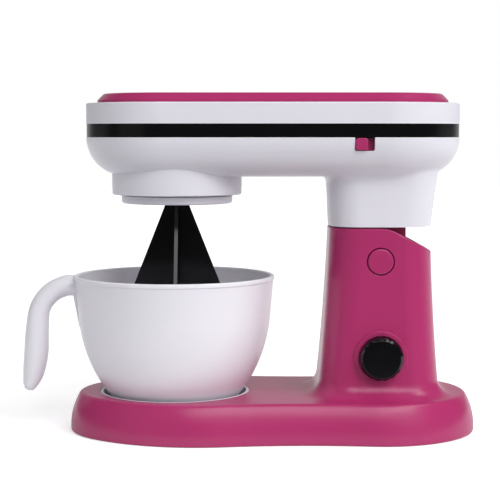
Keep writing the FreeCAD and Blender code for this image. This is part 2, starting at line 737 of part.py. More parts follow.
def battery_door():
    """Door flush with the plate, a tongue at one end and a screw at the other."""
    x0 = BAY_X - BAY_HALF_L
    panel = block(x0 + FIT, DOOR_END_X, -BAY_HALF_W + FIT, BAY_HALF_W - FIT, 0, PLATE_T - FIT)
    tongue = block(
        x0 - DOOR_TONGUE + PLAY, x0 + 3, -BAY_HALF_W / 2 + PLAY, BAY_HALF_W / 2 - PLAY, PLATE_T - FIT - 1, PLATE_T + 1.1
    )
    tongue = tongue.cut(block(x0 - 9, x0 + FIT, -90, 90, -5, PLATE_T + 0.05))
    pad = block(DOOR_SCREW_X - POST_R, DOOR_END_X, -POST_R, POST_R, 0, PAD_T - FIT)
    door = fused([panel, tongue, pad])
    hole = cylinder(SCREW_R + FIT, -1, PAD_T + 1, DOOR_SCREW_X, 0)
    sink = cylinder(SCREW_HEAD_R + FIT, -1, SCREW_SINK, DOOR_SCREW_X, 0)
    return door.cut([hole, sink])


def battery_cells():
    """Two AA cells, one turned round."""
    cells = []
    for side in (-1, 1):
        y = side * (CELL_R + 0.3)
        nub_r, nub_l = CELL_NUB
        body_l = CELL_L - nub_l
        x0 = BAY_X - side * CELL_L / 2
        body = Part.makeCylinder(CELL_R, body_l, vec(x0, y, CELL_Z), vec(side, 0, 0))
        nub = Part.makeCylinder(nub_r, CELL_L, vec(x0, y, CELL_Z), vec(side, 0, 0))
        cells.append(fused([body, nub]))
    return grouped(cells)


def battery_contacts():
    """A flat contact and a coned spring for each cell, seated on the bay's end walls."""
    pieces = []
    half = CONTACT_HALF
    for side in (-1, 1):
        y = side * (CELL_R + 0.3)
        nub_end = BAY_X + side * CELL_L / 2
        wall = BAY_X + side * BAY_HALF_L
        lo, hi = sorted((nub_end, wall))
        flat = block(lo, hi, y - half + 1, y + half - 1, CELL_Z - half, CELL_Z + half)
        lo, hi = sorted((nub_end + side * CONTACT_T, wall))
        inside = half - CONTACT_T
        pieces.append(flat.cut(block(lo, hi, y - half, y + half, CELL_Z - inside, CELL_Z + inside)))
        wide, narrow = CONTACT_CONE
        far = BAY_X - side * BAY_HALF_L
        length = BAY_HALF_L - CELL_L / 2 - CONTACT_T
        foot = vec(far + side * CONTACT_T, y, CELL_Z)
        cone = Part.makeCone(wide, narrow, length, foot, vec(side, 0, 0))
        lo, hi = sorted((far, far + side * CONTACT_T))
        tab_half = half + 0.5
        tab = block(lo, hi, y - tab_half, y + tab_half, CELL_Z - tab_half, CELL_Z + tab_half)
        pieces.append(fused([cone, tab]))
    return grouped(pieces)


def seat_posts():
    """Places of the three posts under the bowl seat."""
    turns = [math.radians(a) for a in (60, 180, 300)]
    return [(BOWL_X + SEAT_POST_PCR * math.cos(a), SEAT_POST_PCR * math.sin(a)) for a in turns]


def bowl_seat():
    """Dished insert, flush with the base, that the bowl's foot stands in."""
    floor_z = SEAT_FLOOR_Z + SEAT_FLOOR_T
    upright_z = BASE_H - SEAT_UPRIGHT
    inner_top = SEAT_R - SEAT_WALL
    inner_low = inner_top - SEAT_DRAFT
    profile = [
        line(vec(0, 0, SEAT_FLOOR_Z), vec(SEAT_R - SEAT_DRAFT, 0, SEAT_FLOOR_Z)),
        line(vec(SEAT_R - SEAT_DRAFT, 0, SEAT_FLOOR_Z), vec(SEAT_R, 0, upright_z)),
        line(vec(SEAT_R, 0, upright_z), vec(SEAT_R, 0, BASE_H)),
        line(vec(SEAT_R, 0, BASE_H), vec(inner_top, 0, BASE_H)),
        line(vec(inner_top, 0, BASE_H), vec(inner_low, 0, floor_z)),
        line(vec(inner_low, 0, floor_z), vec(0, 0, floor_z)),
        line(vec(0, 0, floor_z), vec(0, 0, SEAT_FLOOR_Z)),
    ]
    dish = revolved(profile)
    corner = [e for e in dish.Edges if abs(e.BoundBox.ZMax - floor_z) < 0.01 and e.BoundBox.XLength > 2 * inner_low - 1]
    dish = dish.makeFillet(SEAT_CORNER_R, corner)
    rim = [e for e in dish.Edges if abs(e.BoundBox.ZMin - BASE_H) < 0.01]
    dish = dish.makeFillet(SEAT_RIM_EDGE_R, rim)
    dish.translate(vec(BOWL_X, 0, 0))
    posts = [cylinder(POST_R, PAD_T, SEAT_FLOOR_Z + 1, x, y) for x, y in seat_posts()]
    pilots = [cylinder(SCREW_R + RUN, PAD_T - 1, SEAT_FLOOR_Z, x, y) for x, y in seat_posts()]
    return fused([dish] + posts).cut(pilots)


def base_screws():
    """Screws that hold the bottom plate to both halves."""
    places = [(x, s * y) for s in (-1, 1) for x, y in base_screw_places()]
    return grouped([screw_up(x, y, SCREW_SINK, BASE_SCREW_L) for x, y in places])


def seat_screws():
    """Screws that hold the bowl seat to the bottom plate."""
    return grouped([screw_up(x, y, SCREW_SINK, SEAT_FLOOR_Z - SCREW_SINK - 0.6) for x, y in seat_posts()])


def column_screws():
    """Screws from the rear that hold the two halves together."""
    return grouped([screw_front(x, z, COLUMN_SCREW_HEAD_Y, COLUMN_SCREW_L) for x, z in COLUMN_SCREWS])


def release_button():
    """Round push button on the hinge axis, its stem sliding in the front trunnion."""
    disc = cylinder_y(BUTTON_R, BUTTON_FACE_Y - BUTTON_DOME, BUTTON_FACE_Y + BUTTON_T, HINGE_X, HINGE_Z)
    front = [e for e in disc.Edges if abs(e.BoundBox.YMax - (BUTTON_FACE_Y - BUTTON_DOME)) < 0.01]
    disc = disc.makeFillet(BUTTON_EDGE_R, front)
    stem = cylinder_y(BUTTON_STEM_R, BUTTON_FACE_Y + 1, SNAP_Y + BUTTON_SNAP_T, HINGE_X, HINGE_Z)
    snap = cylinder_y(BUTTON_SNAP_R, SNAP_Y, SNAP_Y + BUTTON_SNAP_T, HINGE_X, HINGE_Z)
    split = block(HINGE_X - 0.5, HINGE_X + 0.5, SNAP_Y - 6, SNAP_Y + 2, HINGE_Z - 9, HINGE_Z + 9)
    return fused([disc, stem, snap]).cut(split)


def lock_spring():
    """Folded strip spring: it returns the button, and its two teeth stand in the hinge block's notches."""
    half_w = LOCK_STRIP_W / 2
    r_out = LOCK_DEPTH / 2 + LOCK_STRIP_T / 2
    r_in = r_out - LOCK_STRIP_T
    mid_y = (LOCK_FRONT_Y + LOCK_BACK_Y + LOCK_STRIP_T) / 2
    straight = LOCK_HALF - r_out
    z0 = HINGE_Z - half_w
    z1 = HINGE_Z + half_w
    parts = [block(HINGE_X - straight, HINGE_X + straight, LOCK_BACK_Y, LOCK_BACK_Y + LOCK_STRIP_T, z0, z1)]
    for side in (-1, 1):
        cx = HINGE_X + side * straight
        bend = cylinder(r_out, z0, z1, cx, mid_y).cut(cylinder(r_in, z0 - 1, z1 + 1, cx, mid_y))
        lo, hi = sorted((cx, cx + side * 20))
        parts.append(bend.common(block(lo, hi, -60, 60, z0, z1)))
        lo, hi = sorted((HINGE_X + side * 1.2, cx))
        parts.append(block(lo, hi, LOCK_FRONT_Y, LOCK_FRONT_Y + LOCK_STRIP_T, z0, z1))
        tx = HINGE_X + side * LOCK_TOOTH_R
        parts.append(block(
            tx - LOCK_STRIP_T / 2, tx + LOCK_STRIP_T / 2, LOCK_FRONT_Y - LOCK_TOOTH_H, LOCK_FRONT_Y + LOCK_STRIP_T, z0, z1
        ))
    spring = fused(parts)
    return spring.cut(cylinder_y(SCREW_R + FIT, -60, 60, HINGE_X, HINGE_Z))


def lock_screw():
    """Screw that holds the lock spring on the rear trunnion."""
    screw = screw_down(0, 0, 0, 8.0)
    screw.rotate(vec(0, 0, 0), vec(1, 0, 0), 90)
    screw.translate(vec(HINGE_X, LOCK_BACK_Y, HINGE_Z))
    return screw


def knob():
    """Speed dial with a scalloped grip and a bevelled face, on a shaft through the column's front."""
    face = -column_size(KNOB_Z)[2]
    body = Part.makeCylinder(KNOB_R, KNOB_H, vec(0, 0, 0), vec(0, -1, 0))
    front = [e for e in body.Edges if abs(e.BoundBox.YMin + KNOB_H) < 0.01 and abs(e.BoundBox.YMax + KNOB_H) < 0.01]
    body = body.makeChamfer(KNOB_BEVEL, front)
    bites = []
    for i in range(KNOB_LOBES):
        turn = 2 * math.pi * i / KNOB_LOBES
        reach = KNOB_R + KNOB_SCALLOP_R - KNOB_SCALLOP_BITE
        at = vec(reach * math.cos(turn), 1, reach * math.sin(turn))
        bites.append(Part.makeCylinder(KNOB_SCALLOP_R, KNOB_H + 2, at, vec(0, -1, 0)))
    body = body.cut(bites)
    body.translate(vec(HINGE_X, face, KNOB_Z))
    shaft_end = face + KNOB_SHAFT_L + RUN
    shaft = cylinder_y(KNOB_SHAFT_R, face - 1, shaft_end, HINGE_X, KNOB_Z)
    pilot = cylinder_y(SCREW_R + RUN, face - 2, shaft_end + 1, HINGE_X, KNOB_Z)
    return fused([body, shaft]).cut(pilot)


def knob_washer():
    """Washer that keeps the knob's shaft in the column."""
    near = -column_size(KNOB_Z)[2] + KNOB_SHAFT_L + RUN
    far = near + KNOB_WASHER_T
    ring = cylinder_y(KNOB_SHAFT_R + KNOB_WASHER_OVER, near, far, HINGE_X, KNOB_Z)
    return ring.cut(cylinder_y(SCREW_R + FIT, near - 1, far + 1, HINGE_X, KNOB_Z))


def knob_screw():
    """Screw through the washer into the knob's shaft."""
    seat = -column_size(KNOB_Z)[2] + KNOB_SHAFT_L + RUN + KNOB_WASHER_T
    return screw_front(HINGE_X, KNOB_Z, seat, 8.0)


# Bowl

def circle_centre(a, b, c):
    """Centre of the circle through three (r, z) points."""
    ax, az = a
    bx, bz = b
    cx, cz = c
    d = 2 * (ax * (bz - cz) + bx * (cz - az) + cx * (az - bz))
    a2 = ax * ax + az * az
    b2 = bx * bx + bz * bz
    c2 = cx * cx + cz * cz
    ux = (a2 * (bz - cz) + b2 * (cz - az) + c2 * (az - bz)) / d
    uz = (a2 * (cx - bx) + b2 * (ax - cx) + c2 * (bx - ax)) / d
    return ux, uz


def toward(centre, point, step):
    """Point moved straight towards a centre by a step, in the XZ plane."""
    dx = centre[0] - point[0]
    dz = centre[1] - point[1]
    far = math.hypot(dx, dz)
    return vec(point[0] + dx * step / far, 0, point[1] + dz * step / far)


def bowl_points():
    """Band, shoulder, belly and heel of the bowl's wall as (r, z)."""
    return [(BOWL_RIM_R - step, z) for step, z in (BOWL_BAND, BOWL_SHOULDER, BOWL_BELLY, BOWL_HEEL)]


def bowl_wall():
    """Round wall, rim and foot of the bowl, and its hollow."""
    floor_z = SEAT_FLOOR_Z + SEAT_FLOOR_T + SEAT_GAP
    rim_low = BOWL_TOP_Z - BOWL_RIM_H
    foot_r = BOWL_RIM_R - BOWL_FOOT_IN
    foot_in = foot_r - BOWL_FOOT_W
    band, shoulder_at, belly_at, heel_at = bowl_points()
    centre = circle_centre(shoulder_at, belly_at, heel_at)
    shoulder = toward(centre, shoulder_at, 0)
    belly = toward(centre, belly_at, 0)
    heel = toward(centre, heel_at, 0)
    band_r, band_z = band
    foot_top = floor_z + BOWL_FOOT_H * 2
    ring_z = floor_z + BOWL_FOOT_H
    outer = [
        line(vec(0, 0, ring_z), vec(foot_in, 0, ring_z)),
        line(vec(foot_in, 0, ring_z), vec(foot_in, 0, floor_z)),
        line(vec(foot_in, 0, floor_z), vec(foot_r, 0, floor_z)),
        line(vec(foot_r, 0, floor_z), vec(foot_r + BOWL_FOOT_DRAFT, 0, foot_top)),
        line(vec(foot_r + BOWL_FOOT_DRAFT, 0, foot_top), heel),
        arc(heel, belly, shoulder),
        line(shoulder, vec(band_r, 0, band_z)),
        line(vec(band_r, 0, band_z), vec(BOWL_RIM_R, 0, rim_low + 0.3)),
        line(vec(BOWL_RIM_R, 0, rim_low + 0.3), vec(BOWL_RIM_R, 0, BOWL_TOP_Z)),
        line(vec(BOWL_RIM_R, 0, BOWL_TOP_Z), vec(0, 0, BOWL_TOP_Z)),
        line(vec(0, 0, BOWL_TOP_Z), vec(0, 0, ring_z)),
    ]
    in_shoulder = toward(centre, shoulder_at, BOWL_WALL)
    in_belly = toward(centre, belly_at, BOWL_WALL)
    in_heel = toward(centre, heel_at, BOWL_WALL)
    in_floor = ring_z + BOWL_WALL
    above = BOWL_TOP_Z + 5
    inner = [
        line(vec(0, 0, in_floor), vec(foot_r - 2, 0, in_floor)),
        line(vec(foot_r - 2, 0, in_floor), in_heel),
        arc(in_heel, in_belly, in_shoulder),
        line(in_shoulder, vec(band_r - BOWL_WALL, 0, band_z)),
        line(vec(band_r - BOWL_WALL, 0, band_z), vec(band_r - BOWL_WALL, 0, above)),
        line(vec(band_r - BOWL_WALL, 0, above), vec(0, 0, above)),
        line(vec(0, 0, above), vec(0, 0, in_floor)),
    ]
    hollow = revolved(inner)
    wall = revolved(outer).cut(hollow)
    top = [e for e in wall.Edges if abs(e.BoundBox.ZMin - BOWL_TOP_Z) < 0.01]
    return wall.makeFillet(BOWL_RIM_EDGE_R, top), hollow


def handle_section(x, z, half, slope):
    """Ellipse across the handle at one point of its centre line."""
    normal = vec(math.cos(slope), 0, math.sin(slope))
    across = vec(0, 1, 0)
    wide = half * HANDLE_WIDE
    if wide >= half:
        curve = Part.Ellipse(vec(x, 0, z) + across * wide, vec(x, 0, z) + normal.cross(across) * half, vec(x, 0, z))
    else:
        curve = Part.Ellipse(vec(x, 0, z) + normal.cross(across) * half, vec(x, 0, z) + across * wide, vec(x, 0, z))
    return Part.Wire([curve.toShape()])


def handle():
    """Hooked handle moulded with the bowl."""
    wires = []
    path = [(-BOWL_RIM_R - step, z, half) for step, z, half in HANDLE_PATH]
    last = len(path) - 1
    for i, (x, z, half) in enumerate(path):
        x0, z0, _ = path[max(0, i - 1)]
        x1, z1, _ = path[min(last, i + 1)]
        slope = math.atan2(z1 - z0, x1 - x0)
        wires.append(handle_section(x, z, half, slope))
    grip = Part.makeLoft(wires, True, False)
    tip = [e for e in grip.Edges if e.BoundBox.ZMax < path[-1][1] + 2.5 and e.BoundBox.YLength > 1]
    return grip.makeFillet(HANDLE_TIP_R, tip)


def handle_root():
    """Thickening of the bowl's wall under the handle, fading out downwards."""
    (band_r, band_z), (shoulder_r, shoulder_z), _, _ = bowl_points()
    low, high = ROOT_PAD_Z
    lean = (band_r - shoulder_r) / (band_z - shoulder_z)
    wall_low = shoulder_r + (low - shoulder_z) * lean
    wall_high = shoulder_r + (high - shoulder_z) * lean
    deep = BOWL_WALL * 0.6
    points = [
        (-wall_low + 0.15, low),
        (-wall_high - ROOT_PAD_T, high),
        (-wall_high - ROOT_PAD_T, high + 3),
        (-wall_high + deep, high + 3),
        (-wall_low + deep, low),
    ]
    pad = polygon_y(points, -ROOT_PAD_HALF, ROOT_PAD_HALF)
    sides = []
    for edge in pad.Edges:
        mid = edge.valueAt((edge.FirstParameter + edge.LastParameter) / 2)
        if edge.BoundBox.YLength < 0.01 and mid.x < -wall_low - 0.3 and edge.BoundBox.ZLength > 1:
            sides.append(edge)
    return pad.makeFillet(ROOT_PAD_EDGE_R, sides)


def bowl():
    """Bowl with its handle, one moulding."""
    wall, hollow = bowl_wall()
    body = fused([wall, handle().cut(hollow), handle_root()])
    body.translate(vec(BOWL_X, 0, 0))
    return body


# Head

BAND_TOP_Z = BAND_Z + BAND_H
UPPER_TOP_Z = BAND_TOP_Z + UPPER_H
HEAD_FLOOR_Z = BAND_Z - HEAD_CORNER_R
INNER_FLOOR_Z = HEAD_FLOOR_Z + WALL
BOSS_TOP_Z = BAND_Z - math.sqrt(HEAD_CORNER_R ** 2 - (HEAD_CORNER_R - HEAD_R + BOSS_R) ** 2) + 0.6


def tub(inset, floor_z, top):
    """Stadium block with a round lower edge."""
    radius = HEAD_CORNER_R - inset
    body = prism(stadium_wire(inset, floor_z), top + 12 - floor_z)
    low = [e for e in body.Edges if abs(e.BoundBox.ZMax - floor_z) < 0.01]
    body = body.makeFillet(radius, low)
    return body.common(block(-200, 300, -100, 100, 0, top))


def neck_solid(inset, z0, z1):
    """Tapered neck between two heights, drawn in by inset."""
    wires = []
    for z in (z0, z1):
        t = (z - NECK_Z) / (NECK_ROOT_Z - NECK_Z)
        left, right, half = (a + (b - a) * t for a, b in zip(NECK_FOOT, NECK_ROOT))
        wires.append(rounded_rect_wire(left + inset, right - inset, half - inset, NECK_CORNER_R - inset, z))
    return Part.makeLoft(wires, True, True)


def neck_edges(shape):
    """Edges where the neck meets the round underside of the head."""
    found = []
    for edge in shape.Edges:
        box = edge.BoundBox
        if box.ZMin > HEAD_FLOOR_Z - 0.01 and box.ZMax < BAND_Z - 1 and box.XMin > NECK_ROOT[0] - 2:
            if box.ZLength < 16 and box.XMax < NECK_ROOT[1] + 4 and max(-box.YMin, box.YMax) < NECK_ROOT[2] + 2:
                found.append(edge)
    return found


def head_envelope():
    """Outside of the lower shell: tub, neck and boss."""
    tub_part = tub(0, HEAD_FLOOR_Z, BAND_Z)
    neck = neck_solid(0, NECK_Z, BAND_Z - 6)
    whole = fused([tub_part, neck])
    whole = whole.makeFillet(NECK_FILLET_R, neck_edges(whole))
    boss = cylinder(BOSS_R, BOSS_BOTTOM_Z, BOSS_TOP_Z)
    low = [e for e in boss.Edges if abs(e.BoundBox.ZMax - BOSS_BOTTOM_Z) < 0.01]
    boss = boss.makeFillet(BOSS_EDGE_R, low)
    return fused([whole, boss])


def gear_places():
    """X of the compound gear's axle and of the motor's shaft."""
    axle = MODULE_SLOW * (OUTPUT_TEETH + SMALL_TEETH) / 2
    motor = axle + MODULE_FAST * (WHEEL_TEETH + PINION_TEETH) / 2
    return axle, motor


def block_screw_places():
    """Screws that hold the hinge block in the neck."""
    reach = BLOCK_HALF + BLOCK_FLANGE_OVER - SCREW_HEAD_R - 1.4
    return [(HINGE_X + sx * reach, sy * BLOCK_SCREW_Y) for sx in (-1, 1) for sy in (-1, 1)]


def head_lower():
    """Lower shell of the head with neck, boss, posts and the switch window."""
    outer = head_envelope()
    hollow = [tub(WALL, INNER_FLOOR_Z, BAND_Z + 4)]
    hollow.append(neck_solid(WALL, NECK_Z + WALL, BAND_Z - 6))
    hollow.append(cylinder(BOSS_R - WALL, BOSS_BOTTOM_Z + WALL, BOSS_TOP_Z + 1))
    shell = outer.cut(fused(hollow))
    lip_outer = prism(stadium_wire(WALL - LIP_T, BAND_Z - 1), LIP_H + 1)
    lip_inner = prism(stadium_wire(WALL, BAND_Z - 2), LIP_H + 4)
    adds = [lip_outer.cut(lip_inner)]
    axle_x, _ = gear_places()
    room = fused([outer, block(-99, 99, -40, 40, HEAD_FLOOR_Z + 1, 190)])
    for x, y in GEAR_PLATE_POSTS:
        adds.append(cylinder(GEAR_POST_R, BOSS_BOTTOM_Z + 1, PLATE_Z, x, y).common(room))
    adds.append(cylinder(GEAR_POST_R, BOSS_BOTTOM_Z + 1, OUTPUT_Z - 0.5, axle_x))
    trim = fused([outer, prism(stadium_wire(WALL / 2, BAND_Z - 1), 20)])
    for s in (-1, 1):
        for x, y in HEAD_SCREWS:
            post = cylinder(POST_R, HEAD_FLOOR_Z + 1, HEAD_POST_TOP_Z, x, s * y)
            adds.append(post.common(trim))
    for x, y in block_screw_places():
        adds.append(cylinder(BLOCK_POST_R, NECK_Z + 1, NECK_Z + WALL + BLOCK_POST_H, x, y))
    shell = fused([shell] + adds)
    cuts = [block(
        HINGE_X - BLOCK_HALF - PLAY, HINGE_X + BLOCK_HALF + PLAY,
        -CHEEK_OUT_Y - PLAY, CHEEK_OUT_Y + PLAY, NECK_Z - 1, NECK_Z + WALL + 1
    )]
    cuts.append(cylinder(SPINDLE_R + RUN + BUSH_WALL, BOSS_BOTTOM_Z - 1, BOSS_BOTTOM_Z + WALL + 1))
    for x, y in GEAR_PLATE_POSTS:
        cuts.append(cylinder(SCREW_R + RUN, PLATE_Z - 7, PLATE_Z + 1, x, y))
    cuts.append(cylinder(AXLE_R, OUTPUT_Z - AXLE_IN_POST, OUTPUT_Z, axle_x))
    for s in (-1, 1):
        for x, y in HEAD_SCREWS:
            cuts.append(cylinder(SCREW_R + RUN, HEAD_POST_TOP_Z - 9, HEAD_POST_TOP_Z + 1, x, s * y))
    for x, y in block_screw_places():
        cuts.append(cylinder(SCREW_R + RUN, NECK_Z + WALL, NECK_Z + WALL + BLOCK_POST_H + 1, x, y))
    cuts.append(switch_window())
    return shell.cut(cuts)


def switch_window():
    """Cutter of the slide switch's window, open at the top to the band."""
    x0, x1 = SWITCH_X
    z0 = BAND_Z - SWITCH_WINDOW_H
    body = block(x0, x1, -HEAD_R - 2, -HEAD_R + WALL + 3, z0, BAND_Z)
    low = [e for e in body.Edges if e.BoundBox.YLength > 3 and abs(e.BoundBox.ZMax - z0) < 0.01]
    return body.makeFillet(SWITCH_CORNER_R, low)


def head_band():
    """Dark band between the shells, with a web that their lips close on."""
    thin = prism(stadium_wire(BAND_INSET, BAND_Z), BAND_H)
    inner = prism(stadium_wire(WALL - LIP_T - FIT, BAND_Z - 1), BAND_H + 2)
    web_z = BAND_Z + LIP_H + 0.1
    web = prism(stadium_wire(WALL - LIP_T - 0.6, web_z), BAND_H - 2 * LIP_H - 0.2)
    web = web.cut(prism(stadium_wire(WALL, web_z - 1), BAND_H))
    return fused([thin.cut(inner), web])


def head_upper():
    """Upper shell of the head, with screw tubes and slots for the cover's hooks."""
    body = prism(stadium_wire(0, BAND_TOP_Z), UPPER_H)
    top = [e for e in body.Edges if abs(e.BoundBox.ZMin - UPPER_TOP_Z) < 0.01]
    body = body.makeFillet(UPPER_EDGE_R, top)
    body = body.cut(prism(stadium_wire(WALL, BAND_TOP_Z - 1), UPPER_H - WALL + 1))
    lip = prism(stadium_wire(WALL - LIP_T, BAND_TOP_Z - LIP_H), LIP_H + 1)
    lip = lip.cut(prism(stadium_wire(WALL, BAND_TOP_Z - LIP_H - 1), LIP_H + 4))
    adds = [lip]
    for s in (-1, 1):
        for x, y in HEAD_SCREWS:
            adds.append(cylinder(SCREW_HEAD_R + TUBE_WALL, HEAD_POST_TOP_Z, UPPER_TOP_Z - 1, x, s * y))
    body = fused([body] + adds)
    cuts = []
    for s in (-1, 1):
        for x, y in HEAD_SCREWS:
            cuts.append(cylinder(SCREW_R + FIT, HEAD_POST_TOP_Z - 1, UPPER_TOP_Z + 1, x, s * y))
            cuts.append(cylinder(SCREW_HEAD_R + FIT, head_screw_seat(), UPPER_TOP_Z + 1, x, s * y))
    for x, y in cover_hook_places():
        half = HOOK_HALF + PLAY
        deep = HOOK_T / 2 + PLAY
        cuts.append(block(x - half, x + half, y - deep, y + deep, UPPER_TOP_Z - WALL - 1, UPPER_TOP_Z + 1))
    return body.cut(cuts)


def head_screw_seat():
    """Height of the seats of the screws that join the head's shells."""
    return HEAD_POST_TOP_Z - 9 + HEAD_SCREW_L - 1


def cover_hook_places():
    """Places of the cover's snap hooks, as (x, y of the hook's middle)."""
    reach = HEAD_R - COVER_INSET - COVER_WALL - 4.0
    spread = HEAD_HALF_L - HEAD_R - 14
    return [(HEAD_X + sx * spread, sy * reach) for sx in (-1, 1) for sy in (-1, 1)]


def top_cover():
    """Raised cover on the head, bevelled all round, held by four snap hooks."""
    body = prism(stadium_wire(COVER_INSET, UPPER_TOP_Z), COVER_H)
    top_z = UPPER_TOP_Z + COVER_H
    top = [e for e in body.Edges if abs(e.BoundBox.ZMin - top_z) < 0.01]
    body = body.makeChamfer(COVER_BEVEL, top)
    top = [e for e in body.Edges if abs(e.BoundBox.ZMin - top_z) < 0.01]
    body = body.makeFillet(COVER_EDGE_R, top)
    hollow = prism(stadium_wire(COVER_INSET + COVER_WALL, UPPER_TOP_Z - 1), COVER_H - COVER_WALL + 1)
    low = [e for e in hollow.Edges if abs(e.BoundBox.ZMin - (top_z - COVER_WALL)) < 0.01]
    hollow = hollow.makeChamfer(min(COVER_BEVEL - 1, COVER_H - COVER_WALL - 0.2), low)
    body = body.cut(hollow)
    hooks = []
    foot_z = UPPER_TOP_Z - WALL - HOOK_DROP
    for x, y in cover_hook_places():
        side = 1 if y > 0 else -1
        x0 = x - HOOK_HALF
        x1 = x + HOOK_HALF
        stem = block(x0, x1, y - HOOK_T / 2, y + HOOK_T / 2, foot_z, top_z - COVER_WALL + 0.5)
        lo, hi = sorted((y, y + side * HOOK_BARB))
        hooks.append(fused([stem, block(x0, x1, lo, hi, foot_z, UPPER_TOP_Z - WALL - 0.1)]))
    return fused([body] + hooks)


def head_screws():
    """Screws under the cover that hold the head's shells and band together."""
    places = [(x, s * y) for s in (-1, 1) for x, y in HEAD_SCREWS]
    return grouped([screw_down(x, y, head_screw_seat(), HEAD_SCREW_L - 2) for x, y in places])


def hinge_block():
    """Block that carries the head on the column: two cheeks, end webs and a flange screwed into the neck."""
    flange_z = NECK_Z + WALL + BLOCK_POST_H
    x0 = HINGE_X - BLOCK_HALF
    x1 = HINGE_X + BLOCK_HALF
    body = block(x0, x1, -CHEEK_OUT_Y, CHEEK_OUT_Y, HINGE_Z, flange_z + 1)
    body = fused([body, cylinder_y(BLOCK_HALF, -CHEEK_OUT_Y, CHEEK_OUT_Y, HINGE_X, HINGE_Z)])
    inside_y = CHEEK_OUT_Y - CHEEK_T
    hollow = block(x0 + BLOCK_WEB, x1 - BLOCK_WEB, -inside_y, inside_y, HINGE_Z, flange_z + 9)
    open_foot = block(x0 - 1, x1 + 1, -inside_y, inside_y, HINGE_Z - BLOCK_HALF - 1, HINGE_Z)
    body = body.cut([hollow, open_foot])
    reach = BLOCK_HALF + BLOCK_FLANGE_OVER
    flange = prism(rounded_rect_wire(HINGE_X - reach, HINGE_X + reach, CHEEK_OUT_Y, 4, flange_z), BLOCK_FLANGE_T)
    flange = flange.cut(block(x0 + BLOCK_WEB, x1 - BLOCK_WEB, -inside_y, inside_y, flange_z - 1, flange_z + 9))
    hub = cylinder_y(CHEEK_HUB_R, -inside_y - 1, -CHEEK_HUB_Y, HINGE_X, HINGE_Z)
    rear_hub = cylinder_y(CHEEK_HUB_R, CHEEK_HUB_Y, inside_y + 1, HINGE_X, HINGE_Z)
    body = fused([body, flange, hub, rear_hub])
    notch_half = LOCK_STRIP_W / 2 + PLAY / 2
    cuts = [cylinder_y(TRUNNION_R + RUN, -60, 60, HINGE_X, HINGE_Z)]
    notch = block(
        HINGE_X - CHEEK_HUB_R - 1, HINGE_X + CHEEK_HUB_R + 1,
        -CHEEK_HUB_Y - LOCK_NOTCH_DEPTH, -CHEEK_HUB_Y + 1, HINGE_Z - notch_half, HINGE_Z + notch_half
    )
    raised = notch.copy()
    raised.rotate(vec(HINGE_X, 0, HINGE_Z), vec(0, 1, 0), -TILT_DEG)
    cuts += [notch, raised]
    for x, y in block_screw_places():
        cuts.append(cylinder(SCREW_R + FIT, flange_z - 1, flange_z + 9, x, y))
    return body.cut(cuts)


def block_screws():
    """Screws that hold the hinge block in the neck."""
    seat = NECK_Z + WALL + BLOCK_POST_H + BLOCK_FLANGE_T
    return grouped([screw_down(x, y, seat, 7.5) for x, y in block_screw_places()])


# Drive

def gear_profile(teeth, module, z):
    """Outline of a spur gear with involute flanks of two chords each; one tooth is centred on +X."""
    pitch_r = module * teeth / 2
    base_r = pitch_r * math.cos(math.radians(20))
    tip_r = pitch_r + module * 0.9
    root_r = pitch_r - module * 1.2
    half_pitch = math.pi / (2 * teeth) - BACKLASH / (2 * pitch_r)
    inv_20 = math.tan(math.radians(20)) - math.radians(20)

    def half_angle(radius):
        """Half the tooth's angle at a radius."""
        press = math.acos(min(1.0, base_r / radius))
        return half_pitch + inv_20 - (math.tan(press) - press)

    flank = [root_r, max(base_r, pitch_r - module * 0.45), pitch_r + module * 0.1, tip_r]
    points = []
    for i in range(teeth):
        mid = 2 * math.pi * i / teeth
        for radius in flank:
            a = mid - half_angle(max(radius, base_r))
            points.append(vec(radius * math.cos(a), radius * math.sin(a), z))
        for radius in reversed(flank):
            a = mid + half_angle(max(radius, base_r))
            points.append(vec(radius * math.cos(a), radius * math.sin(a), z))
    return Part.makePolygon(points + points[:1])


def gear(teeth, module, z0, z1, x, turn_deg=0.0):
    """Spur gear between two heights; turn_deg sets its phase."""
    body = prism(gear_profile(teeth, module, z0), z1 - z0)
    body.rotate(vec(0, 0, 0), vec(0, 0, 1), turn_deg)
    body.translate(vec(x, 0, 0))
    return body


FAST_Z = OUTPUT_Z + GEAR_SLOW_T + GEAR_STEP


def output_gear():
    """Output gear, keyed on the spindle by two flats."""
    wheel = gear(OUTPUT_TEETH, MODULE_SLOW, OUTPUT_Z, OUTPUT_Z + GEAR_SLOW_T, 0)
    rim_r = MODULE_SLOW * OUTPUT_TEETH / 2 - OUTPUT_RIM_W
    groove = cylinder(rim_r, OUTPUT_Z + GEAR_SLOW_T - OUTPUT_DISH, OUTPUT_Z + 9)
    groove = groove.cut(cylinder(OUTPUT_HUB_R, 0, 300))
    return wheel.cut([groove, spindle_seat(FIT / 3)])


def spindle_seat(grow):
    """Seat of the output gear on the spindle: round with two flats."""
    r = SPINDLE_SEAT_R + grow
    flat = SPINDLE_SEAT_R - 1 + grow
    seat = cylinder(r, OUTPUT_Z - 0.2, OUTPUT_Z + GEAR_SLOW_T + 0.2)
    return seat.common(block(-9, 9, -flat, flat, 0, 300))


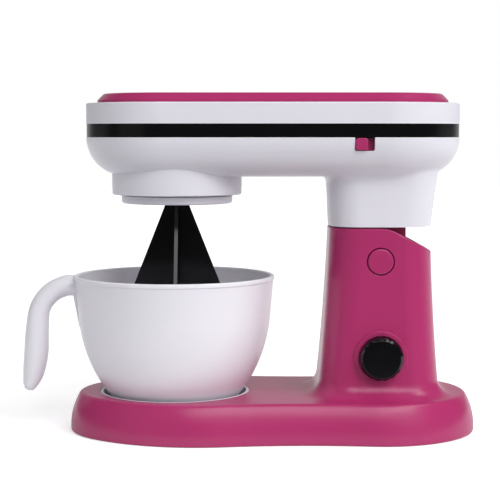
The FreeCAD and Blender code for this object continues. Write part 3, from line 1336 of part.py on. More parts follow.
def compound_gear():
    """Large wheel and small gear in one piece, free on its axle."""
    axle_x, _ = gear_places()
    small = gear(SMALL_TEETH, MODULE_SLOW, OUTPUT_Z, FAST_Z, axle_x, 180.0 / SMALL_TEETH + 180)
    wheel = gear(WHEEL_TEETH, MODULE_FAST, FAST_Z, FAST_Z + GEAR_FAST_T, axle_x)
    rim_r = MODULE_FAST * WHEEL_TEETH / 2 - WHEEL_RIM_W
    groove = cylinder(rim_r, FAST_Z + GEAR_FAST_T - WHEEL_DISH, FAST_Z + 9, axle_x)
    wheel = wheel.cut(groove.cut(cylinder(GEAR_HUB_R + 0.8, 0, 300, axle_x)))
    hub = cylinder(GEAR_HUB_R, FAST_Z, PLATE_Z - PLAY, axle_x)
    return fused([small, wheel, hub]).cut(cylinder(AXLE_R + RUN, 0, 300, axle_x))


def gear_axle():
    """Steel pin of the compound gear, held in the shell's post and the gear plate."""
    axle_x, _ = gear_places()
    return cylinder(AXLE_R, OUTPUT_Z - AXLE_IN_POST, PLATE_Z + GEAR_PLATE_T, axle_x)


def motor_pinion():
    """Brass pinion pressed on the motor's shaft."""
    _, motor_x = gear_places()
    phase = 180.0 / PINION_TEETH + 180
    pinion = gear(PINION_TEETH, MODULE_FAST, FAST_Z - 0.3, FAST_Z + GEAR_FAST_T + 0.5, motor_x, phase)
    return pinion.cut(cylinder(MOTOR_SHAFT_R, 0, 300, motor_x))


def motor_shaft():
    """Steel shaft of the motor's rotor."""
    _, motor_x = gear_places()
    return cylinder(MOTOR_SHAFT_R, FAST_Z - 0.3, motor_top() + 1.0, motor_x)


def motor_top():
    """Height of the motor's end cap."""
    return PLATE_Z + GEAR_PLATE_T + MOTOR_CAN_H + MOTOR_CAP_H


def motor_can():
    """Steel can of the motor, with its two flats and front boss."""
    _, motor_x = gear_places()
    z0 = PLATE_Z + GEAR_PLATE_T
    can = cylinder(MOTOR_R, z0, z0 + MOTOR_CAN_H, motor_x)
    can = can.common(block(motor_x - 20, motor_x + 20, -MOTOR_FLAT, MOTOR_FLAT, 0, 300))
    top = [e for e in can.Edges if abs(e.BoundBox.ZMin - (z0 + MOTOR_CAN_H)) < 0.01]
    can = can.makeFillet(0.8, top)
    boss = cylinder(MOTOR_NOSE_R, z0 - MOTOR_NOSE_L, z0 + 1, motor_x)
    return fused([can, boss]).cut(cylinder(MOTOR_SHAFT_R + RUN, 0, 300, motor_x))


def motor_cap():
    """Plastic end cap of the motor."""
    _, motor_x = gear_places()
    z0 = PLATE_Z + GEAR_PLATE_T + MOTOR_CAN_H
    cap = cylinder(MOTOR_CAP_R, z0, z0 + MOTOR_CAP_H, motor_x)
    cap = cap.common(block(motor_x - 20, motor_x + 20, -MOTOR_FLAT + 0.3, MOTOR_FLAT - 0.3, 0, 300))
    return cap.cut(cylinder(MOTOR_SHAFT_R + RUN, 0, 300, motor_x))


def motor_terminals():
    """Two brass tabs on the motor's end cap."""
    _, motor_x = gear_places()
    z0 = motor_top() - 1.5
    length, width, thick = TERMINAL
    tabs = []
    for side in (-1, 1):
        lo, hi = sorted((motor_x + side * MOTOR_CAP_R, motor_x + side * (MOTOR_CAP_R + length)))
        tabs.append(block(lo, hi, -width / 2, width / 2, z0, z0 + thick))
    return grouped(tabs)


def motor_clamp():
    """Plate over the can's shoulder, screwed to two posts of the gear plate."""
    _, motor_x = gear_places()
    z0 = PLATE_Z + GEAR_PLATE_T + MOTOR_CAN_H
    ear = CLAMP_POST_R + 0.4
    plate = prism(rounded_rect_wire(motor_x - ear, motor_x + ear, CLAMP_POST_Y + ear, ear - 0.2, z0), CLAMP_T)
    plate = fused([plate, cylinder(MOTOR_R, z0, z0 + CLAMP_T, motor_x)])
    opening = cylinder(MOTOR_CAP_R + FIT, 0, 300, motor_x)
    opening = opening.common(block(motor_x - 20, motor_x + 20, -MOTOR_FLAT + 0.1, MOTOR_FLAT - 0.1, 0, 300))
    holes = [cylinder(SCREW_R + FIT, 0, 300, motor_x, s * CLAMP_POST_Y) for s in (-1, 1)]
    return plate.cut([opening] + holes)


def clamp_screws():
    """Screws of the motor clamp."""
    _, motor_x = gear_places()
    seat = PLATE_Z + GEAR_PLATE_T + MOTOR_CAN_H + CLAMP_T
    return grouped([screw_down(motor_x, s * CLAMP_POST_Y, seat, 8.0) for s in (-1, 1)])


def gear_plate():
    """Plate over the gears: top bearing of spindle and axle, and seat of the motor."""
    axle_x, motor_x = gear_places()
    x0, x1 = GEAR_PLATE_X
    top = PLATE_Z + GEAR_PLATE_T
    plate = prism(rounded_rect_wire(x0, x1, GEAR_PLATE_HALF, 6, PLATE_Z), GEAR_PLATE_T)
    adds = [cylinder(JOURNAL_R + 2.5, top - 1, top + 2)]
    for s in (-1, 1):
        adds.append(cylinder(CLAMP_POST_R, top - 1, top + MOTOR_CAN_H, motor_x, s * CLAMP_POST_Y))
    cup = cylinder(MOTOR_R + FIT + MOTOR_CUP_WALL, top - 1, top + MOTOR_CUP_H, motor_x)
    adds.append(cup.cut(cylinder(MOTOR_R + FIT, top, 300, motor_x)))
    plate = fused([plate] + adds)
    cuts = [cylinder(JOURNAL_R + RUN, PLATE_Z - 1, top + 3)]
    cuts.append(cylinder(AXLE_R, PLATE_Z - 1, top + 1, axle_x))
    cuts.append(cylinder(MOTOR_NOSE_R + FIT, PLATE_Z - 1, top + 1, motor_x))
    for x, y in GEAR_PLATE_POSTS:
        cuts.append(cylinder(SCREW_R + FIT, PLATE_Z - 1, top + 1, x, y))
    for s in (-1, 1):
        cuts.append(cylinder(SCREW_R + RUN, top + MOTOR_CAN_H - 7, top + MOTOR_CAN_H + 1, motor_x, s * CLAMP_POST_Y))
    return plate.cut(cuts)


def plate_screws():
    """Screws of the gear plate."""
    seat = PLATE_Z + GEAR_PLATE_T
    return grouped([screw_down(x, y, seat, 8.0) for x, y in GEAR_PLATE_POSTS])


def spindle_bush():
    """Flanged bush in the floor of the boss."""
    bore = SPINDLE_R + RUN
    sleeve = cylinder(bore + BUSH_WALL, BOSS_BOTTOM_Z, BOSS_BOTTOM_Z + WALL)
    flange = cylinder(BUSH_FLANGE_R, BOSS_BOTTOM_Z + WALL, BOSS_BOTTOM_Z + WALL + BUSH_FLANGE_T)
    return fused([sleeve, flange]).cut(cylinder(bore, 0, 300))


DISC_TOP_Z = BOSS_BOTTOM_Z - DISC_TOP_GAP
DISC_BOTTOM_Z = DISC_TOP_Z - DISC_H


def spindle():
    """Socket spindle: runs in the bush, carries the output gear, takes the paddle's square shank."""
    shoulder_z = BOSS_BOTTOM_Z + WALL + BUSH_FLANGE_T + 0.2
    body = [cylinder(SPINDLE_NECK_R, DISC_BOTTOM_Z + 1.0, DISC_TOP_Z + 1)]
    body.append(cylinder(SPINDLE_R, DISC_TOP_Z, shoulder_z + 1))
    body.append(cylinder(SPINDLE_SHOULDER_R, shoulder_z, OUTPUT_Z))
    body.append(spindle_seat(0).common(cylinder(20, OUTPUT_Z - 0.2, OUTPUT_Z + GEAR_SLOW_T)))
    body.append(cylinder(JOURNAL_R, OUTPUT_Z, PLATE_Z + GEAR_PLATE_T + 1.8))
    half = SHANK_SIDE / 2 + RUN
    socket = block(-half, half, -half, half, DISC_BOTTOM_Z - 1, DISC_BOTTOM_Z + SHANK_L + 0.4)
    return fused(body).cut(socket)


def drive_disc():
    """Disc that turns with the paddle under the boss."""
    disc = cylinder(DISC_R, DISC_BOTTOM_Z, DISC_TOP_Z)
    low = [e for e in disc.Edges if abs(e.BoundBox.ZMax - DISC_BOTTOM_Z) < 0.01]
    disc = disc.makeFillet(DISC_EDGE_R, low)
    hollow = cylinder(DISC_R - DISC_WALL, DISC_BOTTOM_Z + DISC_FLOOR, DISC_TOP_Z + 1)
    hollow = hollow.cut(cylinder(SPINDLE_R + 2, 0, 300))
    seat = cylinder(SPINDLE_NECK_R + FIT / 3, DISC_BOTTOM_Z + 1, DISC_TOP_Z + 1)
    return disc.cut([hollow, seat, cylinder(SHANK_SIDE * 0.75, 0, 300)])


def vane():
    """One flat blade of the paddle, both sides of the axis."""
    slope = math.tan(math.radians(PADDLE_FLARE_DEG))
    wide = PADDLE_TOP_HALF + (DISC_BOTTOM_Z - PADDLE_WIDE_Z) * slope
    top = DISC_BOTTOM_Z - PLAY
    right = [(PADDLE_BOTTOM_HALF, PADDLE_BOTTOM_Z), (wide, PADDLE_WIDE_Z), (PADDLE_TOP_HALF, top)]
    points = right + [(-x, z) for x, z in reversed(right)]
    blade = polygon_y(points, -PADDLE_T / 2, PADDLE_T / 2)
    corners = []
    for e in blade.Edges:
        box = e.BoundBox
        upright = box.YLength > PADDLE_T - 0.1 and box.ZLength < 0.01 and box.XLength < 0.01
        if upright and box.ZMax < PADDLE_WIDE_Z + 1:
            corners.append(e)
    return blade.makeFillet(PADDLE_CORNER_R, corners)


def paddle():
    """Four flat vanes in a cross on a square shank."""
    blade = vane()
    across = blade.copy()
    across.rotate(vec(0, 0, 0), vec(0, 0, 1), 90)
    half = SHANK_SIDE / 2
    shank = block(-half, half, -half, half, DISC_BOTTOM_Z - 2.5, DISC_BOTTOM_Z + SHANK_L)
    return fused([blade, across, shank])


# Slide switch

def slider_flange_y():
    """Front of the slider's flange, clear of the inside of the wall at the flange's foot."""
    drop = SWITCH_WINDOW_H + SLIDER_FLANGE_OVER
    inner = HEAD_CORNER_R - WALL
    return -HEAD_R + WALL + inner - math.sqrt(inner ** 2 - drop ** 2) + PLAY


def slider_x():
    """Left side of the slider at rest, against the window's left end."""
    return SWITCH_X[0] + PLAY


def switch_slider():
    """Slider of the power switch: thumb piece, flange behind the wall, and pin into the switch."""
    x0 = slider_x()
    window_mid = BAND_Z - SWITCH_WINDOW_H / 2
    flange_y = slider_flange_y()
    face_y = -HEAD_R - SLIDER_PROUD
    half_h = SLIDER_H / 2
    thumb = block(x0, x0 + SLIDER_W, face_y, flange_y + 0.5, window_mid - half_h, window_mid + half_h)
    thumb = thumb.makeFillet(SLIDER_CORNER_R, [e for e in thumb.Edges if e.BoundBox.YLength > 1])
    front = [e for e in thumb.Edges if abs(e.BoundBox.YMax - face_y) < 0.01]
    thumb = thumb.makeFillet(SLIDER_EDGE_R, front)
    mid = x0 + SLIDER_W / 2
    flange = block(
        mid - SLIDER_FLANGE_L / 2, mid + SLIDER_FLANGE_L / 2, flange_y, flange_y + SLIDER_FLANGE_T,
        BAND_Z - SWITCH_WINDOW_H - SLIDER_FLANGE_OVER, BAND_Z - 0.3
    )
    pin = cylinder_y(SLIDER_PIN_R, flange_y, flange_y + SLIDER_FLANGE_T + SLIDER_PIN_L, mid, window_mid)
    return fused([thumb, flange, pin])


def switch_body():
    """Slide switch behind the slider, with a slot for the slider's pin."""
    length, depth, height = SWITCH_BODY
    window_mid = BAND_Z - SWITCH_WINDOW_H / 2
    mid = slider_x() + (SLIDER_W + SLIDER_TRAVEL) / 2
    y0 = slider_flange_y() + SLIDER_FLANGE_T + 0.2
    body = block(mid - length / 2, mid + length / 2, y0, y0 + depth, window_mid - height / 2, window_mid + height / 2)
    reach = SLIDER_TRAVEL / 2 + SLIDER_PIN_R + PLAY
    half_h = SLIDER_PIN_R + 0.2
    slot_end = y0 + SLIDER_PIN_L + PLAY
    slot = block(mid - reach, mid + reach, y0 - 1, slot_end, window_mid - half_h, window_mid + half_h)
    return body.cut(slot)


def write_parts():
    """Build every piece and write one file for each node."""
    os.makedirs("parts", exist_ok=True)
    outer = housing_outer(0)
    shell = housing_shell(outer.cut(seam_groove()))
    nodes = {
        "base_front_half": base_front(outer, shell),
        "base_rear_half": base_rear(outer, shell),
        "bottom_plate": bottom_plate(),
        "battery_door": battery_door(),
        "battery_door_screw": screw_up(DOOR_SCREW_X, 0, SCREW_SINK, DOOR_SCREW_L),
        "battery_cells": battery_cells(),
        "battery_contacts": battery_contacts(),
        "bowl_seat": bowl_seat(),
        "base_screws": base_screws(),
        "seat_screws": seat_screws(),
        "column_screws": column_screws(),
        "release_button": release_button(),
        "lock_spring": lock_spring(),
        "lock_screw": lock_screw(),
        "speed_knob": knob(),
        "knob_washer": knob_washer(),
        "knob_screw": knob_screw(),
        "bowl": bowl(),
        "head_lower_shell": head_lower(),
        "head_band": head_band(),
        "head_upper_shell": head_upper(),
        "top_cover": top_cover(),
        "head_screws": head_screws(),
        "hinge_block": hinge_block(),
        "hinge_block_screws": block_screws(),
        "gear_plate": gear_plate(),
        "gear_plate_screws": plate_screws(),
        "gear_axle": gear_axle(),
        "compound_gear": compound_gear(),
        "motor_can": motor_can(),
        "motor_end_cap": motor_cap(),
        "motor_terminals": motor_terminals(),
        "motor_clamp": motor_clamp(),
        "motor_clamp_screws": clamp_screws(),
        "motor_shaft": motor_shaft(),
        "motor_pinion": motor_pinion(),
        "spindle_bush": spindle_bush(),
        "drive_spindle": spindle(),
        "output_gear": output_gear(),
        "drive_disc": drive_disc(),
        "paddle": paddle(),
        "switch_slider": switch_slider(),
        "switch_body": switch_body(),
    }
    for name, shape in nodes.items():
        shape.exportStep("parts/" + name + ".step")
        print(name, len(shape.Solids), round(shape.Volume, 1), shape.isValid())


write_parts()
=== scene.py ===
"""Looks of the toy stand mixer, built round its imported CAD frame. Metres, +Z up, the front looks along -Y."""

import json
import logging
import math
from collections.abc import Sequence
from dataclasses import dataclass, field
from enum import Enum

import bmesh
import bpy
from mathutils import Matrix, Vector


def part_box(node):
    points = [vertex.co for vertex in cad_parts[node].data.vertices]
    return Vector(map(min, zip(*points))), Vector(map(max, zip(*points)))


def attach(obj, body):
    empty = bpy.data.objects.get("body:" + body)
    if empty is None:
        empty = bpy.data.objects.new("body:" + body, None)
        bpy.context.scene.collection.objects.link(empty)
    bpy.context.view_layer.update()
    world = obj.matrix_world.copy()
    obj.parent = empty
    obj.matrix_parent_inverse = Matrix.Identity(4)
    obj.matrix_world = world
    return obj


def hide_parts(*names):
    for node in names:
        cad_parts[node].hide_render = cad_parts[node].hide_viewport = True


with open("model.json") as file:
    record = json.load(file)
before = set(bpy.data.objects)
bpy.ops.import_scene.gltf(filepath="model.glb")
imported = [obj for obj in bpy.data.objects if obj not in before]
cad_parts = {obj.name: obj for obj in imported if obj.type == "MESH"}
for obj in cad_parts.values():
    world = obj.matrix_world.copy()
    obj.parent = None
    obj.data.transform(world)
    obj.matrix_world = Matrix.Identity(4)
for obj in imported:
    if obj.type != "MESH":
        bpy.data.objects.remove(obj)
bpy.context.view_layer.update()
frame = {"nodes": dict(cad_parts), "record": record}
LOG = logging.getLogger("toy_mixer")
MM = 0.001
MERGE = 0.004 * MM    # points closer than this are one point
HUGE = 1.0            # a lobe limit this far out cuts nothing
HEAD_SIDES = 40       # of a screw's head
HEAD_RINGS = 6        # across a screw's head
DOME_POWER = 3.0      # higher is flatter in the middle
SHANK_SIDES = 20      # of a screw's shank
ROWS_PER_TURN = 4.0   # of a thread
TIP_SHARE = 0.2       # width of a screw's tip, as a share of its shank
SURFACE_SLACK = 0.05  # millimetres by which a point may lie under the bowl's surface and still count as on it
PROUD_LEAST = 1.3     # millimetres by which the pad's outer edge stands out at least
RAIL_R = 0.001 * MM   # radius of the ring that a turned outline is swept round


def linear(code: str) -> tuple[float, float, float, float]:
    """Turn an sRGB hex colour into linear RGBA.

    Args:
        code: six hex digits.

    Returns:
        Linear red, green and blue, and an alpha of 1.
    """
    channels = []
    for start in (0, 2, 4):
        value = int(code[start:start + 2], 16) / 255
        channels.append(value / 12.92 if value <= 0.04045 else ((value + 0.055) / 1.055) ** 2.4)
    return (channels[0], channels[1], channels[2], 1.0)


def add(tree: bpy.types.NodeTree, kind: str, inputs: dict | None = None, **settings) -> bpy.types.Node:
    """Add one node with its settings, constants and links.

    Args:
        tree: node tree that gets the node.
        kind: type of the node.
        inputs: socket name or index, with a constant, the socket that feeds it, or the node whose first
            output feeds it.
        settings: properties of the node itself.

    Returns:
        The new node.
    """
    made = tree.nodes.new(kind)
    for name, value in settings.items():
        setattr(made, name, value)
    for key, value in (inputs or {}).items():
        if isinstance(value, bpy.types.Node):
            value = next(out for out in value.outputs if out.enabled)
        if isinstance(value, bpy.types.NodeSocket):
            tree.links.new(value, made.inputs[key])
        else:
            made.inputs[key].default_value = value
    return made


class Resin(Enum):
    """Moulded plastics of the toy: (index of refraction, share of light that enters and comes back out)."""

    ABS = (1.54, 0.0)
    POLYPROPYLENE = (1.49, 0.06)
    ACETAL = (1.48, 0.08)
    NYLON = (1.53, 0.0)
    PVC = (1.53, 0.0)


class Lay(Enum):
    """How the fine lines of a metal lie: how densely the pattern repeats along X, Y and Z."""

    TURNED = (1.0, 1.0, 12.0)
    ROLLED = (0.12, 1.0, 1.0)
    DRAWN = (1.0, 1.0, 0.12)


@dataclass(frozen=True)
class MouldedPlastic:
    """Injection-moulded plastic: a drifting colour, spark-eroded grain, faint flow waves and scuffs."""

    name: str
    resin: Resin
    colour: str
    drift: str
    roughness: float
    grain_mm: float = 0.55
    grain_depth_mm: float = 0.001
    wave_mm: float = 38.0
    wave_depth_mm: float = 0.012
    scuff_mm: float = 24.0
    scuff: float = 0.004
    scuff_turn: tuple[float, float, float] = (0.3, 0.2, 0.6)
    scuff_lay: tuple[float, float, float] = (1.0, 9.0, 9.0)
    scuff_from: tuple[float, float] = (0.35, 0.72)
    sink_mm: float = 2.0
    sink_ratio: tuple[float, float, float] = (0.6, 0.5, 0.45)

    def build(self) -> bpy.types.Material:
        """Make the material.

        The grain of a real mould is about 0.05 mm. It is drawn some ten times coarser, so that it shows in
        the render as the soft, slightly broken edge that a satin moulding gives to a reflection.

        Returns:
            The new material.
        """
        material = bpy.data.materials.new(self.name)
        material.use_nodes = True
        tree = material.node_tree
        tree.nodes.clear()
        ior, glow = self.resin.value
        place = add(tree, "ShaderNodeTexCoord").outputs["Object"]
        cloud = add(tree, "ShaderNodeTexNoise", {
            "Vector": place, "Scale": 1 / (self.wave_mm * MM), "Detail": 2.0,
        }).outputs["Fac"]
        tone = add(tree, "ShaderNodeMix", {
            0: cloud, 6: linear(self.colour), 7: linear(self.drift),
        }, data_type="RGBA")
        grain = add(tree, "ShaderNodeTexNoise", {
            "Vector": place, "Scale": 1 / (self.grain_mm * MM), "Detail": 3.0,
        })
        along = add(tree, "ShaderNodeMapping", {
            "Vector": place, "Rotation": self.scuff_turn, "Scale": self.scuff_lay,
        })
        scuffs = add(tree, "ShaderNodeTexNoise", {
            "Vector": along, "Scale": 1 / (self.scuff_mm * MM), "Detail": 2.0, "Roughness": 0.5,
        })
        rough = add(tree, "ShaderNodeMapRange", {
            "Value": scuffs.outputs["Fac"], "From Min": self.scuff_from[0], "From Max": self.scuff_from[1],
            "To Min": self.roughness - self.scuff / 2, "To Max": self.roughness + self.scuff,
        })
        swell = add(tree, "ShaderNodeBump", {"Height": cloud, "Distance": self.wave_depth_mm * MM})
        fine = add(tree, "ShaderNodeBump", {
            "Height": grain.outputs["Fac"], "Distance": self.grain_depth_mm * MM, "Normal": swell,
        })
        surface = add(tree, "ShaderNodeBsdfPrincipled", {
            "Base Color": tone, "Roughness": rough, "IOR": ior, "Normal": fine, "Subsurface Weight": glow,
            "Subsurface Radius": self.sink_ratio, "Subsurface Scale": self.sink_mm * MM,
        })
        add(tree, "ShaderNodeOutputMaterial", {"Surface": surface})
        return material


@dataclass(frozen=True)
class PlatedMetal:
    """Bare or plated metal: fine lines of its making, and a cloudy finish."""

    name: str
    colour: str
    roughness: float
    lay: Lay = Lay.TURNED
    line_mm: float = 3.0
    line_depth_mm: float = 0.002
    cloud_mm: float = 3.0
    cloud_range: tuple[float, float] = (0.8, 1.25)

    def build(self) -> bpy.types.Material:
        """Make the material.

        Real tool marks are a tenth as wide as the lines drawn here, too fine to show. line_mm is their width
        before the lay packs them closer.

        Returns:
            The new material.
        """
        material = bpy.data.materials.new(self.name)
        material.use_nodes = True
        tree = material.node_tree
        tree.nodes.clear()
        place = add(tree, "ShaderNodeTexCoord").outputs["Object"]
        flat = add(tree, "ShaderNodeMapping", {"Vector": place, "Scale": self.lay.value})
        lines = add(tree, "ShaderNodeTexNoise", {
            "Vector": flat, "Scale": 1 / (self.line_mm * MM), "Detail": 5.0,
        })
        cloud = add(tree, "ShaderNodeTexNoise", {
            "Vector": place, "Scale": 1 / (self.cloud_mm * MM), "Detail": 2.0,
        })
        rough = add(tree, "ShaderNodeMapRange", {
            "Value": cloud.outputs["Fac"],
            "To Min": self.roughness * self.cloud_range[0], "To Max": self.roughness * self.cloud_range[1],
        })
        bump = add(tree, "ShaderNodeBump", {
            "Height": lines.outputs["Fac"], "Distance": self.line_depth_mm * MM,
        })
        surface = add(tree, "ShaderNodeBsdfPrincipled", {
            "Base Color": linear(self.colour), "Metallic": 1.0, "Roughness": rough, "Normal": bump,
        })
        add(tree, "ShaderNodeOutputMaterial", {"Surface": surface})
        return material


class Finish(Enum):
    """Every finish of the toy, under the name of the real material."""

    # Satin magenta-pink mouldings: broad soft sheen, a pale edge where the backdrop grazes them.
    PINK = MouldedPlastic("moulded_pink_ABS", Resin.ABS, "AC2D67", "A92B64", 0.29)
    # Cool white shells of the head, the seat and the disc: a little less shiny, so that they read as soft.
    WHITE = MouldedPlastic("moulded_white_ABS", Resin.ABS, "E2E0E9", "DFDDE6", 0.36)
    # Waxy white of the bowl: light sinks in a little and softens its shading.
    BOWL = MouldedPlastic("moulded_white_polypropylene", Resin.POLYPROPYLENE, "ECEAF1", "E8E6EE", 0.34)
    # Polished black trim and paddle: near black, with narrow grey gleams.
    BLACK = MouldedPlastic("polished_black_ABS", Resin.ABS, "060609", "08080B", 0.2, grain_depth_mm=0.0008)
    # Satin black of the dial: the grain spreads the gleam over each lobe.
    DIAL = MouldedPlastic("satin_black_ABS", Resin.ABS, "050508", "07070A", 0.2, grain_depth_mm=0.0015)
    # Dull black of the switch body, which nobody touches.
    NYLON = MouldedPlastic("black_glass_filled_nylon", Resin.NYLON, "131315", "19191B", 0.5)
    # Plain grey mouldings of the drive, dull and even.
    GREY = MouldedPlastic("moulded_grey_ABS", Resin.ABS, "8F8F92", "8A8A8D", 0.5)
    # Natural gear plastic: a warm, slightly see-through ivory.
    ACETAL = MouldedPlastic("natural_acetal", Resin.ACETAL, "E4E1D8", "DEDBD0", 0.34)
    # Shrunk-on sleeve of the cells: smooth and shiny, with small waves.
    SLEEVE = MouldedPlastic("shrunk_PVC_sleeve", Resin.PVC, "3A3F45", "34393F", 0.22, wave_mm=9.0)
    # Zinc-plated steel of the screws, washer and clamp: pale, cool and a little cloudy.
    ZINC = PlatedMetal("zinc_plated_steel", "C4C6CA", 0.32)
    # Nickel-plated steel of the can and the contacts: warmer and brighter than zinc, drawn along its length.
    NICKEL = PlatedMetal("nickel_plated_steel", "CFCBC3", 0.25, Lay.DRAWN)
    # Ground steel of axles: bright, with lines round it.
    GROUND = PlatedMetal("ground_steel", "C9C9CB", 0.18)
    # Rolled spring strip: darker grey, with lines along it.
    SPRING = PlatedMetal("rolled_spring_steel", "8C8D92", 0.3, Lay.ROLLED)
    # Turned brass of pinion and terminals.
    BRASS = PlatedMetal("turned_brass", "D3B064", 0.24)

    def material(self) -> bpy.types.Material:
        """Return the material, made on first use."""
        return bpy.data.materials.get(self.value.name) or self.value.build()


def body_of_node(node: str) -> str:
    """Name of the body that carries a CAD node."""
    bodies = frame["record"]["behaviour"]["bodies"]
    return next(name for name, members in bodies.items() if node in members)


def merged_copy(node: str) -> bmesh.types.BMesh:
    """Copy a CAD node's loose triangles and join them.

    Args:
        node: name of the CAD node.

    Returns:
        The joined mesh, to be freed by the caller.
    """
    work = bmesh.new()
    work.from_mesh(frame["nodes"][node].data)
    bmesh.ops.remove_doubles(work, verts=work.verts, dist=MERGE)
    return work


def moulded(name: str, work: bmesh.types.BMesh, finish: Finish, nodes: Sequence[str],
            crisp_deg: float = 32.0) -> bpy.types.Object:
    """Turn a mesh into a finished piece that stands for CAD nodes of one body.

    Args:
        name: name of the piece.
        work: its mesh, in place; it is freed here.
        finish: its finish.
        nodes: CAD nodes that it replaces; the first gives the body.
        crisp_deg: edges that turn more than this stay crisp.

    Returns:
        The piece.
    """
    limit = math.radians(crisp_deg)
    for face in work.faces:
        face.smooth = True
    for edge in work.edges:
        edge.smooth = len(edge.link_faces) == 2 and edge.calc_face_angle(0.0) < limit
    mesh = bpy.data.meshes.new(name)
    work.to_mesh(mesh)
    work.free()
    mesh.materials.append(finish.material())
    piece = bpy.data.objects.new(name, mesh)
    bpy.context.scene.collection.objects.link(piece)
    # Flats next to small roundings keep their even shade.
    weighted = piece.modifiers.new("even_flats", "WEIGHTED_NORMAL")
    weighted.keep_sharp = True
    first = nodes[0]
    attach(piece, body_of_node(first))
    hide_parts(*nodes)
    LOG.info("%s: %d faces, rides on %s", name, len(mesh.polygons), body_of_node(first))
    return piece


def new_tree(name: str, sockets: dict[str, str]) -> tuple[bpy.types.NodeTree, bpy.types.Node]:
    """Start a geometry tree.

    Args:
        name: its name.
        sockets: name and type of each input after the geometry.

    Returns:
        The tree and its input node.
    """
    tree = bpy.data.node_groups.new(name, "GeometryNodeTree")
    tree.interface.new_socket("Geometry", in_out="INPUT", socket_type="NodeSocketGeometry")
    tree.interface.new_socket("Geometry", in_out="OUTPUT", socket_type="NodeSocketGeometry")
    for label, kind in sockets.items():
        tree.interface.new_socket(label, in_out="INPUT", socket_type="NodeSocket" + kind)
    return tree, add(tree, "NodeGroupInput")


def grown(tree: bpy.types.NodeTree, seed: bpy.types.Mesh, values: dict) -> bmesh.types.BMesh:
    """Run a geometry tree on a mesh and return the plain result, with its faces pointing outwards.

    Args:
        tree: the geometry tree.
        seed: mesh that it starts from.
        values: value of each named input.

    Returns:
        The result, to be freed by the caller.
    """
    carrier = bpy.data.objects.new("seed", seed)
    bpy.context.scene.collection.objects.link(carrier)
    modifier = carrier.modifiers.new("form", "NODES")
    modifier.node_group = tree
    for socket in tree.interface.items_tree:
        if socket.in_out == "INPUT" and socket.name in values:
            modifier[socket.identifier] = values[socket.name]
    evaluated = carrier.evaluated_get(bpy.context.evaluated_depsgraph_get())
    mesh = bpy.data.meshes.new_from_object(evaluated)
    bpy.data.objects.remove(carrier)
    work = bmesh.new()
    work.from_mesh(mesh)
    bpy.data.meshes.remove(mesh)
    bmesh.ops.recalc_face_normals(work, faces=work.faces)
    return work


